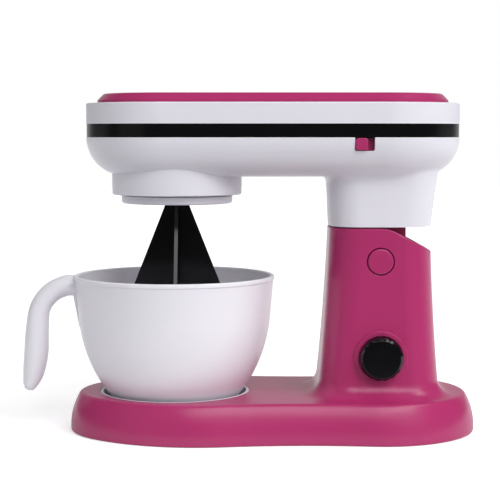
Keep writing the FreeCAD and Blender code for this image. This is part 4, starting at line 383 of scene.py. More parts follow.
def turned_tree() -> bpy.types.NodeTree:
    """Build the tree of a turned form: an outline of (radius, -height) points, rounded and swept round.

    Each point's own "corner" attribute gives its rounding. A ring of equal hollows can be cut into the rim,
    as round cutters set round it would cut them: Lobe Limit is the radius at a hollow's deepest line.

    Returns:
        The tree.
    """
    tree, enter = new_tree("turned_form", {
        "Segments": "Int", "Corner Points": "Int", "Lobes": "Float", "Lobe Limit": "Float",
        "Cutter Radius": "Float", "Place": "Vector", "Turn": "Rotation", "Material": "Material",
    })
    given = enter.outputs
    outline = add(tree, "GeometryNodeMeshToCurve", {"Mesh": given["Geometry"]})
    corner = add(tree, "GeometryNodeInputNamedAttribute", {"Name": "corner"}, data_type="FLOAT")
    rounded = add(tree, "GeometryNodeFilletCurve", {
        "Curve": outline, "Count": given["Corner Points"], "Radius": corner, "Limit Radius": True,
    }, mode="POLY")
    rail = add(tree, "GeometryNodeCurvePrimitiveCircle", {"Resolution": given["Segments"], "Radius": RAIL_R})
    swept = add(tree, "GeometryNodeCurveToMesh", {"Curve": rail, "Profile Curve": rounded})
    closed = add(tree, "GeometryNodeMergeByDistance", {"Geometry": swept, "Distance": MERGE})
    place = add(tree, "GeometryNodeInputPosition")
    flat = add(tree, "ShaderNodeVectorMath", {0: place, 1: (1, 1, 0)}, operation="MULTIPLY")
    reach = add(tree, "ShaderNodeVectorMath", {0: flat}, operation="LENGTH").outputs["Value"]
    split = add(tree, "ShaderNodeSeparateXYZ", {0: place})
    angle = add(tree, "ShaderNodeMath", {0: split.outputs["Y"], 1: split.outputs["X"]}, operation="ARCTAN2")
    lobe = add(tree, "ShaderNodeMath", {0: given["Lobes"], 1: math.tau}, operation="DIVIDE")
    count = add(tree, "ShaderNodeMath", {0: angle, 1: lobe, 2: 0.5}, operation="MULTIPLY_ADD")
    share = add(tree, "ShaderNodeMath", {0: count}, operation="FRACT")
    off = add(tree, "ShaderNodeMath", {0: share, 1: 0.5}, operation="SUBTRACT")
    turn = add(tree, "ShaderNodeMath", {0: off, 1: lobe}, operation="DIVIDE")
    arc = add(tree, "ShaderNodeMath", {0: turn, 1: given["Lobe Limit"]}, operation="MULTIPLY")
    square = add(tree, "ShaderNodeMath", {0: arc, 1: arc}, operation="MULTIPLY")
    across = add(tree, "ShaderNodeMath", {0: given["Cutter Radius"], 1: 2.0}, operation="MULTIPLY")
    rise = add(tree, "ShaderNodeMath", {0: square, 1: across}, operation="DIVIDE")
    edge = add(tree, "ShaderNodeMath", {0: given["Lobe Limit"], 1: rise}, operation="ADD")
    ratio = add(tree, "ShaderNodeMath", {0: edge, 1: reach}, operation="DIVIDE")
    kept = add(tree, "ShaderNodeMath", {0: ratio, 1: 1.0}, operation="MINIMUM")
    scale = add(tree, "ShaderNodeCombineXYZ", {0: kept, 1: kept, 2: 1.0})
    moved = add(tree, "ShaderNodeVectorMath", {0: place, 1: scale}, operation="MULTIPLY")
    away = add(tree, "FunctionNodeCompare", {0: reach, 1: MERGE}, data_type="FLOAT", operation="GREATER_THAN")
    cut = add(tree, "GeometryNodeSetPosition", {"Geometry": closed, "Selection": away, "Position": moved})
    stood = add(tree, "GeometryNodeTransform", {
        "Geometry": cut, "Translation": given["Place"], "Rotation": given["Turn"],
    })
    real = add(tree, "GeometryNodeRealizeInstances", {"Geometry": stood})
    done = add(tree, "GeometryNodeSetMaterial", {"Geometry": real, "Material": given["Material"]})
    add(tree, "NodeGroupOutput", {"Geometry": done})
    return tree


@dataclass
class TurnedForm:
    """A form turned round an axis, from an outline of (radius, height, corner rounding) in millimetres."""

    outline: list[tuple[float, float, float]]
    place: Vector
    turn: tuple[float, float, float] = (0.0, 0.0, 0.0)
    segments: int = 160
    corner_points: int = 5
    lobes: int = 1
    lobe_limit: float = HUGE
    cutter_r: float = HUGE

    def mesh(self, finish: Finish) -> bmesh.types.BMesh:
        """Return the form's closed mesh, in place."""
        seed = bpy.data.meshes.new("outline")
        points = [(r * MM, -z * MM, 0.0) for r, z, _ in self.outline]
        seed.from_pydata(points, [(i, i + 1) for i in range(len(points) - 1)], [])
        corner = seed.attributes.new("corner", "FLOAT", "POINT")
        corner.data.foreach_set("value", [rounding * MM for _, _, rounding in self.outline])
        tree = bpy.data.node_groups.get("turned_form") or turned_tree()
        return grown(tree, seed, {
            "Segments": self.segments, "Corner Points": self.corner_points, "Lobes": float(self.lobes),
            "Lobe Limit": self.lobe_limit, "Cutter Radius": self.cutter_r, "Place": tuple(self.place),
            "Turn": self.turn, "Material": finish.material(),
        })


def dress(node: str, finish: Finish) -> None:
    """Give a CAD node's slots its finish; its shape stays."""
    slots = frame["nodes"][node].data.materials
    slots.clear()
    slots.append(finish.material())


@dataclass
class SubAssembly:
    """CAD nodes that keep their shape: those in sight get a smooth skin, the others only their finish."""

    skins: dict[Finish, tuple[str, ...]] = field(default_factory=dict)
    carried: dict[Finish, tuple[str, ...]] = field(default_factory=dict)

    def build(self) -> None:
        """Dress every node of the sub-assembly."""
        for table in (self.skins, self.carried):
            for finish, nodes in table.items():
                for node in nodes:
                    dress(node, finish)
        for finish, nodes in self.skins.items():
            for node in nodes:
                moulded(node + "_skin", merged_copy(node), finish, [node])


@dataclass
class Housing(SubAssembly):
    """Base and column in two halves, what closes them below, and the seat of the bowl."""

    skins: dict[Finish, tuple[str, ...]] = field(default_factory=lambda: {
        Finish.PINK: ("base_front_half", "base_rear_half", "bottom_plate", "battery_door", "hinge_block"),
        Finish.WHITE: ("bowl_seat",),
    })


@dataclass
class Battery(SubAssembly):
    """Cells and contacts in the base."""

    carried: dict[Finish, tuple[str, ...]] = field(default_factory=lambda: {
        Finish.SLEEVE: ("battery_cells",), Finish.NICKEL: ("battery_contacts",),
    })


@dataclass
class Controls(SubAssembly):
    """Speed dial, release button with its lock spring, and slide switch."""

    skins: dict[Finish, tuple[str, ...]] = field(default_factory=lambda: {
        Finish.PINK: ("release_button", "switch_slider"),
    })
    carried: dict[Finish, tuple[str, ...]] = field(default_factory=lambda: {
        Finish.SPRING: ("lock_spring",), Finish.NYLON: ("switch_body",), Finish.ZINC: ("knob_washer",),
        Finish.DIAL: ("speed_knob",),
    })
    grip_r: float = 12.5
    grip_h: float = 8.4
    bevel: float = 1.5
    lobes: int = 16
    cutter_r: float = 3.4
    bite: float = 0.4
    shaft_r: float = 4.0
    pilot_r: float = 1.27
    pilot_rise: float = 2.0
    root_rounding: float = 0.3
    crest_rounding: float = 0.5
    points_per_lobe: int = 12

    def dial(self) -> bpy.types.Object:
        """Build the scalloped dial on its shaft, as one turned form that faces the front."""
        low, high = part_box("speed_knob")
        shaft_end = (low.y - high.y) / MM + self.grip_h
        outline = [
            (0.0, self.pilot_rise, 0.0), (self.pilot_r, self.pilot_rise, 0.0), (self.pilot_r, shaft_end, 0.0),
            (self.shaft_r, shaft_end, self.root_rounding), (self.shaft_r, 0.0, 0.0),
            (self.grip_r, 0.0, self.root_rounding),
            (self.grip_r, self.grip_h - self.bevel, self.crest_rounding),
            (self.grip_r - self.bevel, self.grip_h, self.crest_rounding),
            (0.0, self.grip_h, 0.0),
        ]
        middle = Vector(((low.x + high.x) / 2, low.y + self.grip_h * MM, (low.z + high.z) / 2))
        form = TurnedForm(
            outline, middle, (math.pi / 2, 0.0, 0.0), self.points_per_lobe * self.lobes, lobes=self.lobes,
            lobe_limit=(self.grip_r - self.bite) * MM, cutter_r=self.cutter_r * MM,
        )
        return moulded("speed_dial", form.mesh(Finish.DIAL), Finish.DIAL, ["speed_knob"])

    def build(self) -> None:
        """Dress the nodes and build the dial."""
        super().build()
        self.dial()


@dataclass
class Bowl(SubAssembly):
    """White bowl: a turned wall, and a hooked handle swept from it."""

    carried: dict[Finish, tuple[str, ...]] = field(default_factory=lambda: {Finish.BOWL: ("bowl",)})
    rim_r: float = 60.4
    rim_h: float = 2.6
    rim_step: float = 0.3
    rim_rounding: float = 0.9
    wall: float = 2.1
    band: tuple[float, float] = (0.6, 90.6)
    shoulder: tuple[float, float] = (2.75, 66.0)
    belly: tuple[float, float] = (8.8, 42.4)
    heel: tuple[float, float] = (21.9, 20.4)
    foot_in: float = 27.0
    foot_w: float = 3.0
    foot_h: float = 1.4
    foot_draft: float = 0.6
    foot_rounding: float = 0.3
    ring_rounding: float = 0.4
    foot_blend: float = 0.5
    band_rounding: float = 0.3
    step_rounding: float = 0.25
    inner_band_rounding: float = 2.0
    well_in: float = 2.0
    well_rounding: float = 4.0
    arc_steps: int = 24
    arc_rounding: float = 0.4
    segments: int = 192
    # Centre line of the handle: step out of the rim, height, half thickness.
    path: tuple[tuple[float, float, float], ...] = (
        (-1.9, 86.5, 6.2), (5.35, 86.6, 6.3), (14.55, 82.1, 6.2), (21.05, 73.0, 6.3), (22.85, 60.0, 7.0),
        (23.65, 46.5, 7.3), (25.35, 34.5, 6.4), (27.55, 27.0, 4.5), (29.35, 23.4, 2.6),
    )
    path_steps: int = 10
    ring_points: int = 48
    deeper: float = 1.15
    tip_r: float = 1.4
    tip_steps: int = 6
    pad_half: float = 7.0
    pad_t: float = 1.65
    pad_z: tuple[float, float] = (62.3, 83.3)
    pad_crest: float = 80.3
    pad_rounding: float = 1.0
    pad_rounding_steps: int = 4
    pad_root: float = 0.6     # how far into the wall it reaches, as a share of the wall
    pad_sunk: float = 0.15    # its lower edge lies this far inside the wall

    def centre(self) -> Vector:
        """Return the point under the bowl's middle, at floor height."""
        _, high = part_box("bowl")
        return Vector((high.x - self.rim_r * MM, 0.0, 0.0))

    def circle(self) -> tuple[float, float]:
        """Return the middle (radius, height) of the circle through shoulder, belly and heel."""
        points = [(self.rim_r - step, z) for step, z in (self.shoulder, self.belly, self.heel)]
        (ax, az), (bx, bz), (cx, cz) = points
        twice = 2 * (ax * (bz - cz) + bx * (cz - az) + cx * (az - bz))
        a, b, c = ax * ax + az * az, bx * bx + bz * bz, cx * cx + cz * cz
        return ((a * (bz - cz) + b * (cz - az) + c * (az - bz)) / twice,
                (a * (cx - bx) + b * (ax - cx) + c * (bx - ax)) / twice)

    def curve(self, inset: float) -> list[tuple[float, float, float]]:
        """Return points from heel to shoulder, moved inwards by an amount."""
        mid_r, mid_z = self.circle()
        ends = [(self.rim_r - s - mid_r, z - mid_z) for s, z in (self.heel, self.shoulder)]
        start, stop = [math.atan2(dz, dr) for dr, dz in ends]
        reach = math.hypot(*ends[0]) - inset
        turns = [start + (stop - start) * i / self.arc_steps for i in range(self.arc_steps + 1)]
        return [(mid_r + reach * math.cos(t), mid_z + reach * math.sin(t), self.arc_rounding) for t in turns]

    def outline(self) -> list[tuple[float, float, float]]:
        """Return the wall's section, from the axis below round the rim to the axis inside."""
        floor_z, top = [corner.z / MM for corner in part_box("bowl")]
        foot_r = self.rim_r - self.foot_in
        ring_z = floor_z + self.foot_h
        band_r, band_z = self.rim_r - self.band[0], self.band[1]
        outside = [
            (0.0, ring_z, 0.0), (foot_r - self.foot_w, ring_z, self.ring_rounding),
            (foot_r - self.foot_w, floor_z, self.foot_rounding), (foot_r, floor_z, self.foot_rounding),
            (foot_r + self.foot_draft, ring_z + self.foot_h, self.foot_blend),
            *self.curve(0.0),
            (band_r, band_z, self.band_rounding),
            (self.rim_r, top - self.rim_h + self.rim_step, self.step_rounding),
            (self.rim_r, top, self.rim_rounding),
        ]
        inside = [
            *self.curve(self.wall), (band_r - self.wall, band_z, self.inner_band_rounding),
            (band_r - self.wall, top, self.rim_rounding),
        ]
        well_z = ring_z + self.wall
        return [*outside, *reversed(inside), (foot_r - self.well_in, well_z, self.well_rounding),
                (0.0, well_z, 0.0)]

    def line(self) -> list[tuple[float, float, float]]:
        """Return the handle's smooth centre line as (x, z, half thickness), in millimetres."""
        middle = self.centre().x / MM
        given = [Vector((middle - self.rim_r - step, z, half)) for step, z, half in self.path]
        given = [2 * given[0] - given[1], *given, 2 * given[-1] - given[-2]]
        points = []
        for p, a, b, n in zip(given, given[1:], given[2:], given[3:]):
            for i in range(self.path_steps):
                t = i / self.path_steps
                points.append(0.5 * (2 * a + (b - p) * t + (2 * p - 5 * a + 4 * b - n) * t ** 2
                                     + (3 * a - p - 3 * b + n) * t ** 3))
        points.append(given[-2])
        return [tuple(point) for point in points]

    def rounded_end(self, line: list[tuple[float, float, float]]) -> list[tuple[float, float, float]]:
        """Return the centre line with its end drawn in to a rounded tip."""
        (ax, az, _), (bx, bz, half) = line[-3], line[-1]
        far = math.hypot(bx - ax, bz - az)
        ahead = ((bx - ax) / far, (bz - az) / far)
        kept = [p for p in line if (bx - p[0]) * ahead[0] + (bz - p[1]) * ahead[1] > self.tip_r]
        for i in range(self.tip_steps + 1):
            turn = math.pi / 2 * i / self.tip_steps
            back = self.tip_r * (1 - math.sin(turn))
            thinner = self.tip_r * (1 - math.cos(turn))
            kept.append((bx - ahead[0] * back, bz - ahead[1] * back, half - thinner))
        return kept

    def handle(self) -> bpy.types.Object:
        """Build the handle: oval rings along its centre line, from the bowl's wall to the rounded tip."""
        line = self.rounded_end(self.line())
        work = bmesh.new()
        rings = []
        for i, (x, z, half) in enumerate(line):
            x0, z0, _ = line[max(0, i - 1)]
            x1, z1, _ = line[min(len(line) - 1, i + 1)]
            far = math.hypot(x1 - x0, z1 - z0) or 1.0
            side = (-(z1 - z0) / far, (x1 - x0) / far)
            ring = []
            for j in range(self.ring_points):
                turn = math.tau * j / self.ring_points
                thick = half * math.cos(turn)
                wide = half * self.deeper * math.sin(turn)
                point = ((x + side[0] * thick) * MM, wide * MM, (z + side[1] * thick) * MM)
                ring.append(work.verts.new(point))
            rings.append(ring)
        for a, b in zip(rings, rings[1:]):
            for j in range(self.ring_points):
                k = (j + 1) % self.ring_points
                work.faces.new((a[j], a[k], b[k], b[j]))
        work.faces.new(rings[0])
        work.faces.new(rings[-1])
        bmesh.ops.recalc_face_normals(work, faces=work.faces)
        return moulded("bowl_handle", work, Finish.BOWL, ["bowl"])

    def pad(self) -> bpy.types.Object:
        """Build the wedge that thickens the wall under the handle."""
        lean = (self.shoulder[0] - self.band[0]) / (self.band[1] - self.shoulder[1])
        low, high = self.pad_z
        middle = self.centre().x / MM
        top_r, top_z = self.rim_r - self.band[0], self.band[1]
        wall_low, wall_crest = [top_r - (top_z - z) * lean for z in (low, self.pad_crest)]
        deep = self.wall * self.pad_root
        section = [
            (wall_low - self.pad_sunk, low), (wall_crest + self.pad_t, self.pad_crest),
            (wall_crest + self.pad_t, high), (wall_crest - deep, high), (wall_low - deep, low),
        ]
        work = bmesh.new()
        ends = [[work.verts.new(((middle - r) * MM, y * MM, z * MM)) for r, z in section]
                for y in (-self.pad_half, self.pad_half)]
        for i in range(len(section)):
            j = (i + 1) % len(section)
            work.faces.new((ends[0][i], ends[0][j], ends[1][j], ends[1][i]))
        work.faces.new(ends[0])
        work.faces.new(ends[1])
        bmesh.ops.recalc_face_normals(work, faces=work.faces)
        # Round the edges of the two sides that stand out of the bowl's wall.
        surface_x = (middle - wall_low + self.pad_sunk + SURFACE_SLACK) * MM
        rims = [edge for edge in work.edges if abs(edge.verts[0].co.y - edge.verts[1].co.y) < MERGE
                and all(vert.co.x < surface_x for vert in edge.verts)
                and any(vert.co.x < surface_x - PROUD_LEAST * MM for vert in edge.verts)]
        bmesh.ops.bevel(
            work, geom=rims, offset=self.pad_rounding * MM, segments=self.pad_rounding_steps, profile=0.5,
            affect="EDGES",
        )
        return moulded("bowl_handle_pad", work, Finish.BOWL, ["bowl"])

    def build(self) -> None:
        """Build wall, handle and pad."""
        super().build()
        wall = TurnedForm(self.outline(), self.centre(), segments=self.segments)
        moulded("bowl_wall", wall.mesh(Finish.BOWL), Finish.BOWL, ["bowl"])
        self.handle()
        self.pad()


@dataclass
class Head(SubAssembly):
    """Tilting head: white shells, black band between them, pink cover."""

    skins: dict[Finish, tuple[str, ...]] = field(default_factory=lambda: {
        Finish.WHITE: ("head_lower_shell", "head_upper_shell"),
        Finish.BLACK: ("head_band",),
        Finish.PINK: ("top_cover",),
    })


@dataclass
class Drive(SubAssembly):
    """Motor, two gear stages, spindle, disc and paddle."""

    skins: dict[Finish, tuple[str, ...]] = field(default_factory=lambda: {
        Finish.WHITE: ("drive_disc",), Finish.BLACK: ("paddle",),
    })
    carried: dict[Finish, tuple[str, ...]] = field(default_factory=lambda: {
        Finish.ACETAL: ("compound_gear", "output_gear", "drive_spindle", "spindle_bush"),
        Finish.GREY: ("gear_plate", "motor_end_cap"),
        Finish.ZINC: ("motor_clamp",), Finish.NICKEL: ("motor_can",),
        Finish.GROUND: ("gear_axle", "motor_shaft"), Finish.BRASS: ("motor_terminals", "motor_pinion"),
    })


def screw_tree() -> bpy.types.NodeTree:
    """Build the tree that sets a domed, cross-recessed screw with a thread on each seat, along its "drive".

    Returns:
        The tree.
    """
    tree, enter = new_tree("pan_head_screws", {
        "Head Radius": "Float", "Head Height": "Float", "Dome": "Float", "Recess Reach": "Float",
        "Recess Width": "Float", "Recess Depth": "Float", "Shank Radius": "Float", "Length": "Float",
        "Pitch": "Float", "Thread Depth": "Float", "Tip": "Float", "Material": "Material",
    })
    given = enter.outputs
    place = add(tree, "GeometryNodeInputPosition")
    split = add(tree, "ShaderNodeSeparateXYZ", {0: place})
    flat = add(tree, "ShaderNodeVectorMath", {0: place, 1: (1, 1, 0)}, operation="MULTIPLY")
    reach = add(tree, "ShaderNodeVectorMath", {0: flat}, operation="LENGTH").outputs["Value"]

    head = add(tree, "GeometryNodeMeshCylinder", {
        "Vertices": HEAD_SIDES, "Fill Segments": HEAD_RINGS,
        "Radius": given["Head Radius"], "Depth": given["Head Height"],
    }, fill_type="TRIANGLE_FAN")
    half_head = add(tree, "ShaderNodeMath", {0: given["Head Height"], 1: 0.5}, operation="MULTIPLY")
    up = add(tree, "ShaderNodeCombineXYZ", {2: half_head})
    share = add(tree, "ShaderNodeMath", {0: reach, 1: given["Head Radius"]}, operation="DIVIDE")
    bulge = add(tree, "ShaderNodeMath", {0: share, 1: DOME_POWER}, operation="POWER")
    drop = add(tree, "ShaderNodeMath", {0: bulge, 1: given["Dome"]}, operation="MULTIPLY")
    below = add(tree, "ShaderNodeMath", {0: drop, 1: -1.0}, operation="MULTIPLY")
    top = add(tree, "FunctionNodeCompare", {0: split.outputs["Z"], 1: 0.0}, data_type="FLOAT",
              operation="GREATER_THAN")
    sunk = add(tree, "ShaderNodeCombineXYZ", {2: below})
    domed = add(tree, "GeometryNodeSetPosition", {
        "Geometry": head.outputs["Mesh"], "Selection": top, "Offset": sunk,
    })
    seated = add(tree, "GeometryNodeTransform", {"Geometry": domed, "Translation": up})
    size = add(tree, "ShaderNodeCombineXYZ", {
        0: given["Recess Reach"], 1: given["Recess Width"], 2: given["Recess Depth"],
    })
    slot = add(tree, "GeometryNodeMeshCube", {"Size": size})
    lift = add(tree, "ShaderNodeCombineXYZ", {2: given["Head Height"]})
    bars = [add(tree, "GeometryNodeTransform", {
        "Geometry": slot.outputs["Mesh"], "Translation": lift, "Rotation": (0.0, 0.0, turn),
    }) for turn in (0.0, math.pi / 2)]
    recessed = add(tree, "GeometryNodeMeshBoolean", {"Mesh 1": seated}, operation="DIFFERENCE",
                   solver="EXACT")
    for bar in bars:
        tree.links.new(bar.outputs[0], recessed.inputs["Mesh 2"])

    rows = add(tree, "ShaderNodeMath", {0: given["Length"], 1: given["Pitch"]}, operation="DIVIDE")
    steps = add(tree, "ShaderNodeMath", {0: rows, 1: ROWS_PER_TURN}, operation="MULTIPLY")
    shank = add(tree, "GeometryNodeMeshCylinder", {
        "Vertices": SHANK_SIDES, "Side Segments": steps, "Radius": given["Shank Radius"],
        "Depth": given["Length"],
    })
    angle = add(tree, "ShaderNodeMath", {0: split.outputs["Y"], 1: split.outputs["X"]}, operation="ARCTAN2")
    turned_share = add(tree, "ShaderNodeMath", {0: angle, 1: math.tau}, operation="DIVIDE")
    height = add(tree, "ShaderNodeMath", {0: split.outputs["Z"], 1: given["Pitch"]}, operation="DIVIDE")
    wound = add(tree, "ShaderNodeMath", {0: height, 1: turned_share}, operation="SUBTRACT")
    ramp = add(tree, "ShaderNodeMath", {0: wound, 1: 1.0}, operation="PINGPONG")
    bite = add(tree, "ShaderNodeMath", {
        0: given["Thread Depth"], 1: given["Shank Radius"],
    }, operation="DIVIDE")
    groove = add(tree, "ShaderNodeMath", {0: ramp, 1: bite}, operation="MULTIPLY")
    left = add(tree, "ShaderNodeMath", {0: 1.0, 1: groove}, operation="SUBTRACT")
    half = add(tree, "ShaderNodeMath", {0: given["Length"], 1: 0.5}, operation="MULTIPLY")
    above = add(tree, "ShaderNodeMath", {0: split.outputs["Z"], 1: half}, operation="ADD")
    taper = add(tree, "ShaderNodeMapRange", {
        "Value": above, "From Min": 0.0, "From Max": given["Tip"], "To Min": TIP_SHARE, "To Max": 1.0,
    })
    thin = add(tree, "ShaderNodeMath", {0: left, 1: taper}, operation="MULTIPLY")
    scale = add(tree, "ShaderNodeCombineXYZ", {0: thin, 1: thin, 2: 1.0})
    cut = add(tree, "ShaderNodeVectorMath", {0: place, 1: scale}, operation="MULTIPLY")
    threaded = add(tree, "GeometryNodeSetPosition", {"Geometry": shank.outputs["Mesh"], "Position": cut})
    back = add(tree, "ShaderNodeMath", {0: half, 1: -1.0}, operation="MULTIPLY")
    hung = add(tree, "GeometryNodeTransform", {
        "Geometry": threaded, "Translation": add(tree, "ShaderNodeCombineXYZ", {2: back}),
    })

    screw = add(tree, "GeometryNodeJoinGeometry")
    for part in (recessed, hung):
        tree.links.new(part.outputs[0], screw.inputs[0])
    drive = add(tree, "GeometryNodeInputNamedAttribute", {"Name": "drive"}, data_type="FLOAT_VECTOR")
    head_up = add(tree, "ShaderNodeVectorMath", {0: drive, "Scale": -1.0}, operation="SCALE")
    aim = add(tree, "FunctionNodeAlignRotationToVector", {"Vector": head_up}, axis="Z")
    placed = add(tree, "GeometryNodeInstanceOnPoints", {
        "Points": given["Geometry"], "Instance": screw, "Rotation": aim,
    })
    real = add(tree, "GeometryNodeRealizeInstances", {"Geometry": placed})
    done = add(tree, "GeometryNodeSetMaterial", {"Geometry": real, "Material": given["Material"]})
    add(tree, "NodeGroupOutput", {"Geometry": done})
    return tree


@dataclass
class Screws:
    """Every screw of the toy, set where the CAD screws are, one mesh for each CAD node."""

    nodes: tuple[str, ...] = (
        "battery_door_screw", "base_screws", "seat_screws", "column_screws", "lock_screw", "knob_screw",
        "head_screws", "hinge_block_screws", "gear_plate_screws", "motor_clamp_screws",
    )
    head_r: float = 2.8
    head_h: float = 1.7
    dome: float = 0.55
    recess: tuple[float, float, float] = (3.0, 0.7, 1.8)
    shank_r: float = 1.25
    pitch: float = 1.0
    thread: float = 0.22
    tip: float = 1.6
    wide: float = 1.5         # a point this many shank radii off the axis is on the head
    crisp_deg: float = 40.0

    def seats(self, node: str) -> tuple[list[Vector], list[Vector], float]:
        """Find the seats of a node's heads, the ways its screws are driven and their length.

        Args:
            node: CAD node of one or more screws.

        Returns:
            Seats, directions and length below the head, all in metres.
        """
        work = merged_copy(node)
        rest = dict.fromkeys(work.verts)
        seats, ways, length = [], [], 0.0
        while rest:
            island, queue = [], [rest.popitem()[0]]
            while queue:
                vert = queue.pop()
                island.append(vert.co.copy())
                for edge in vert.link_edges:
                    other = edge.other_vert(vert)
                    if other in rest:
                        del rest[other]
                        queue.append(other)
            low = Vector([min(p[k] for p in island) for k in range(3)])
            high = Vector([max(p[k] for p in island) for k in range(3)])
            size = high - low
            axis = max(range(3), key=lambda k: size[k])
            middle = (low + high) / 2
            across = [k for k in range(3) if k != axis]
            least = self.wide * self.shank_r * MM
            head = [p for p in island if max(abs(p[k] - middle[k]) for k in across) > least]
            ahead = sum(p[axis] - middle[axis] for p in head) > 0
            way = Vector([0.0, 0.0, 0.0])
            way[axis] = -1.0 if ahead else 1.0
            seat = middle.copy()
            seat[axis] = (high[axis] if ahead else low[axis]) + way[axis] * self.head_h * MM
            seats.append(seat)
            ways.append(way)
            length = size[axis] - self.head_h * MM
        work.free()
        return seats, ways, length

    def build(self) -> None:
        """Build the screws of every node."""
        tree = screw_tree()
        for node in self.nodes:
            dress(node, Finish.ZINC)
            seats, ways, length = self.seats(node)
            seed = bpy.data.meshes.new("seats")
            seed.from_pydata([tuple(seat) for seat in seats], [], [])
            drive = seed.attributes.new("drive", "FLOAT_VECTOR", "POINT")
            drive.data.foreach_set("vector", [value for way in ways for value in way])
            reach, width, depth = self.recess
            form = grown(tree, seed, {
                "Head Radius": self.head_r * MM, "Head Height": self.head_h * MM, "Dome": self.dome * MM,
                "Recess Reach": reach * MM, "Recess Width": width * MM, "Recess Depth": depth * MM,
                "Shank Radius": self.shank_r * MM, "Length": length, "Pitch": self.pitch * MM,
                "Thread Depth": self.thread * MM, "Tip": self.tip * MM, "Material": Finish.ZINC.material(),
            })
            moulded(node + "_set", form, Finish.ZINC, [node], self.crisp_deg)


@dataclass
class Camera:
    """Camera at the photograph's place, found from the toy's outline, in the CAD frame."""

    place: tuple[float, float, float] = (0.0439, -0.8857, 0.1783)
    down_rad: float = 0.0789
    focal_px: float = 1471.0
    frame_px: float = 500.0
    sensor_mm: float = 36.0
    nearest: float = 0.01

    def build(self) -> bpy.types.Object:
        """Add the camera and make it the scene's."""
        data = bpy.data.cameras.new("camera")
        data.sensor_width = self.sensor_mm
        data.lens = self.focal_px * self.sensor_mm / self.frame_px
        data.clip_start = self.nearest
        data.dof.use_dof = False
        camera = bpy.data.objects.new("camera", data)
        bpy.context.scene.collection.objects.link(camera)
        camera.location = self.place
        camera.rotation_euler = (math.pi / 2 - self.down_rad, 0.0, 0.0)
        bpy.context.scene.camera = camera
        return camera


@dataclass(frozen=True)
class Softbox:
    """One soft lamp: where it stands, its size and power, if it shows in gloss, and what it looks at.

    A lamp with a polarising filter doesn't show in gloss: it lights the colours and leaves no glare.
    """

    name: str
    place: tuple[float, float, float]
    size: tuple[float, float]
    power: float
    glossy: bool = True
    target: tuple[float, float, float] = (0.05, 0.0, 0.1)

    def build(self) -> bpy.types.Object:
        """Add the lamp."""
        data = bpy.data.lights.new(self.name, "AREA")
        data.shape = "RECTANGLE"
        data.size, data.size_y = self.size
        data.energy = self.power
        lamp = bpy.data.objects.new(self.name, data)
        bpy.context.scene.collection.objects.link(lamp)
        lamp.location = self.place
        lamp.visible_glossy = self.glossy
        aim = Vector(self.target) - Vector(self.place)
        lamp.rotation_euler = aim.to_track_quat("-Z", "Y").to_euler()
        return lamp


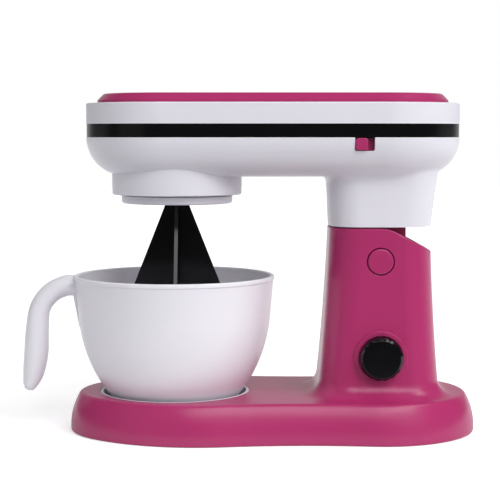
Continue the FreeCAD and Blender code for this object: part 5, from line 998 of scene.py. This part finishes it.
@dataclass
class Studio:
    """Plain pale floor before a white backdrop, a dim room on the camera's side, and soft lamps."""

    board_z: float = -0.2 * MM
    board_side: float = 4.0
    board_front: float = -0.185
    board_back: float = 4.0
    board_colour: str = "EFEFF0"
    # Strength of the world's plain light before and behind the toy, and the ways in Y where it changes.
    ambient: tuple[float, float] = (0.41, 0.6)
    ambient_from: tuple[float, float] = (-0.2, 0.5)
    # Strength of the room before the toy and of the backdrop behind it, as gloss shows them.
    room: float = 0.05
    backdrop: float = 0.55
    backdrop_from: tuple[float, float] = (0.55, 0.95)
    # Glow of the board near the origin and far from it, and the metres in Y where gloss begins to see it.
    floor_glow: tuple[float, float] = (0.44, 0.8)
    glow_reach: tuple[float, float] = (0.3, 2.0)
    gloss_reach: tuple[float, float] = (0.0, 0.3)
    lamps: tuple[Softbox, ...] = (
        Softbox("key_right", (1.3, -1.5, 1.15), (1.5, 1.5), 20.5, glossy=False),
        Softbox("top_strip", (0.55, -1.3, 1.45), (1.8, 0.7), 12.5),
        Softbox("overhead", (0.85, -0.3, 1.3), (0.6, 0.5), 3.5),
        Softbox("fill_left", (-1.5, -1.3, 0.9), (1.6, 1.6), 1.5),
    )

    def build(self) -> None:
        """Add the world, the floor and the lamps."""
        world = bpy.data.worlds.new("studio")
        bpy.context.scene.world = world
        world.use_nodes = True
        tree = world.node_tree
        tree.nodes.clear()
        path = add(tree, "ShaderNodeLightPath")
        way = add(tree, "ShaderNodeSeparateXYZ", {0: add(tree, "ShaderNodeTexCoord").outputs["Generated"]})
        # Gloss shows the white backdrop behind the toy, and the dim room before it.
        behind = add(tree, "ShaderNodeMapRange", {
            "Value": way.outputs["Y"], "From Min": self.backdrop_from[0], "From Max": self.backdrop_from[1],
            "To Min": self.room, "To Max": self.backdrop,
        }, interpolation_type="SMOOTHSTEP")
        # The backdrop also lights the toy from behind.
        ambient = add(tree, "ShaderNodeMapRange", {
            "Value": way.outputs["Y"], "From Min": self.ambient_from[0], "From Max": self.ambient_from[1],
            "To Min": self.ambient[0], "To Max": self.ambient[1],
        })
        gloss = add(tree, "ShaderNodeMix", {0: path.outputs["Is Glossy Ray"], 2: ambient, 3: behind})
        plain = add(tree, "ShaderNodeMath", {
            0: path.outputs["Is Camera Ray"], 1: path.outputs["Is Transmission Ray"],
        }, operation="MAXIMUM")
        strength = add(tree, "ShaderNodeMix", {0: plain, 2: gloss, 3: 1.0})
        sky = add(tree, "ShaderNodeBackground", {"Color": (1, 1, 1, 1), "Strength": strength})
        add(tree, "ShaderNodeOutputWorld", {"Surface": sky})
        self.floor()
        for lamp in self.lamps:
            lamp.build()

    def floor(self) -> bpy.types.Object:
        """Add the floor: painted board that glows faintly to camera and gloss, so that it reads as white.

        The board ends a little before the toy, as a product table does, so that the toy's front shows the
        dim room. The lamps reach less far than the board, so it glows more further out.
        """
        side, front, back = self.board_side, self.board_front, self.board_back
        mesh = bpy.data.meshes.new("floor")
        rim = ((-side, front), (side, front), (side, back), (-side, back))
        mesh.from_pydata([(x, y, self.board_z) for x, y in rim], [], [(0, 1, 2, 3)])
        material = bpy.data.materials.new("painted_board")
        material.use_nodes = True
        tree = material.node_tree
        tree.nodes.clear()
        path = add(tree, "ShaderNodeLightPath")
        spot = add(tree, "ShaderNodeTexCoord").outputs["Object"]
        place = add(tree, "ShaderNodeSeparateXYZ", {0: spot})
        far = add(tree, "ShaderNodeVectorMath", {0: spot}, operation="LENGTH")
        behind = add(tree, "ShaderNodeMapRange", {
            "Value": place.outputs["Y"], "From Min": self.gloss_reach[0], "From Max": self.gloss_reach[1],
        })
        gloss = add(tree, "ShaderNodeMath", {
            0: path.outputs["Is Glossy Ray"], 1: behind,
        }, operation="MULTIPLY")
        plain = add(tree, "ShaderNodeMath", {
            0: path.outputs["Is Camera Ray"], 1: path.outputs["Is Transmission Ray"],
        }, operation="MAXIMUM")
        seen = add(tree, "ShaderNodeMath", {0: plain, 1: gloss}, operation="MAXIMUM")
        level = add(tree, "ShaderNodeMapRange", {
            "Value": far.outputs["Value"], "From Min": self.glow_reach[0], "From Max": self.glow_reach[1],
            "To Min": self.floor_glow[0], "To Max": self.floor_glow[1],
        })
        strength = add(tree, "ShaderNodeMath", {0: seen, 1: level}, operation="MULTIPLY")
        glow = add(tree, "ShaderNodeEmission", {"Color": (1, 1, 1, 1), "Strength": strength})
        matt = add(tree, "ShaderNodeBsdfDiffuse", {"Color": linear(self.board_colour)})
        both = add(tree, "ShaderNodeAddShader", {0: glow, 1: matt})
        add(tree, "ShaderNodeOutputMaterial", {"Surface": both})
        mesh.materials.append(material)
        piece = bpy.data.objects.new("floor", mesh)
        bpy.context.scene.collection.objects.link(piece)
        return piece


def main() -> None:
    """Build the scene in order and report each piece."""
    logging.basicConfig(level=logging.INFO, format="%(name)s %(message)s")
    bpy.context.scene.view_settings.view_transform = "Standard"
    Camera().build()
    Studio().build()
    for sub_assembly in (Housing(), Battery(), Controls(), Bowl(), Head(), Drive(), Screws()):
        LOG.info("building %s", type(sub_assembly).__name__)
        sub_assembly.build()


if __name__ == "__main__":
    main()
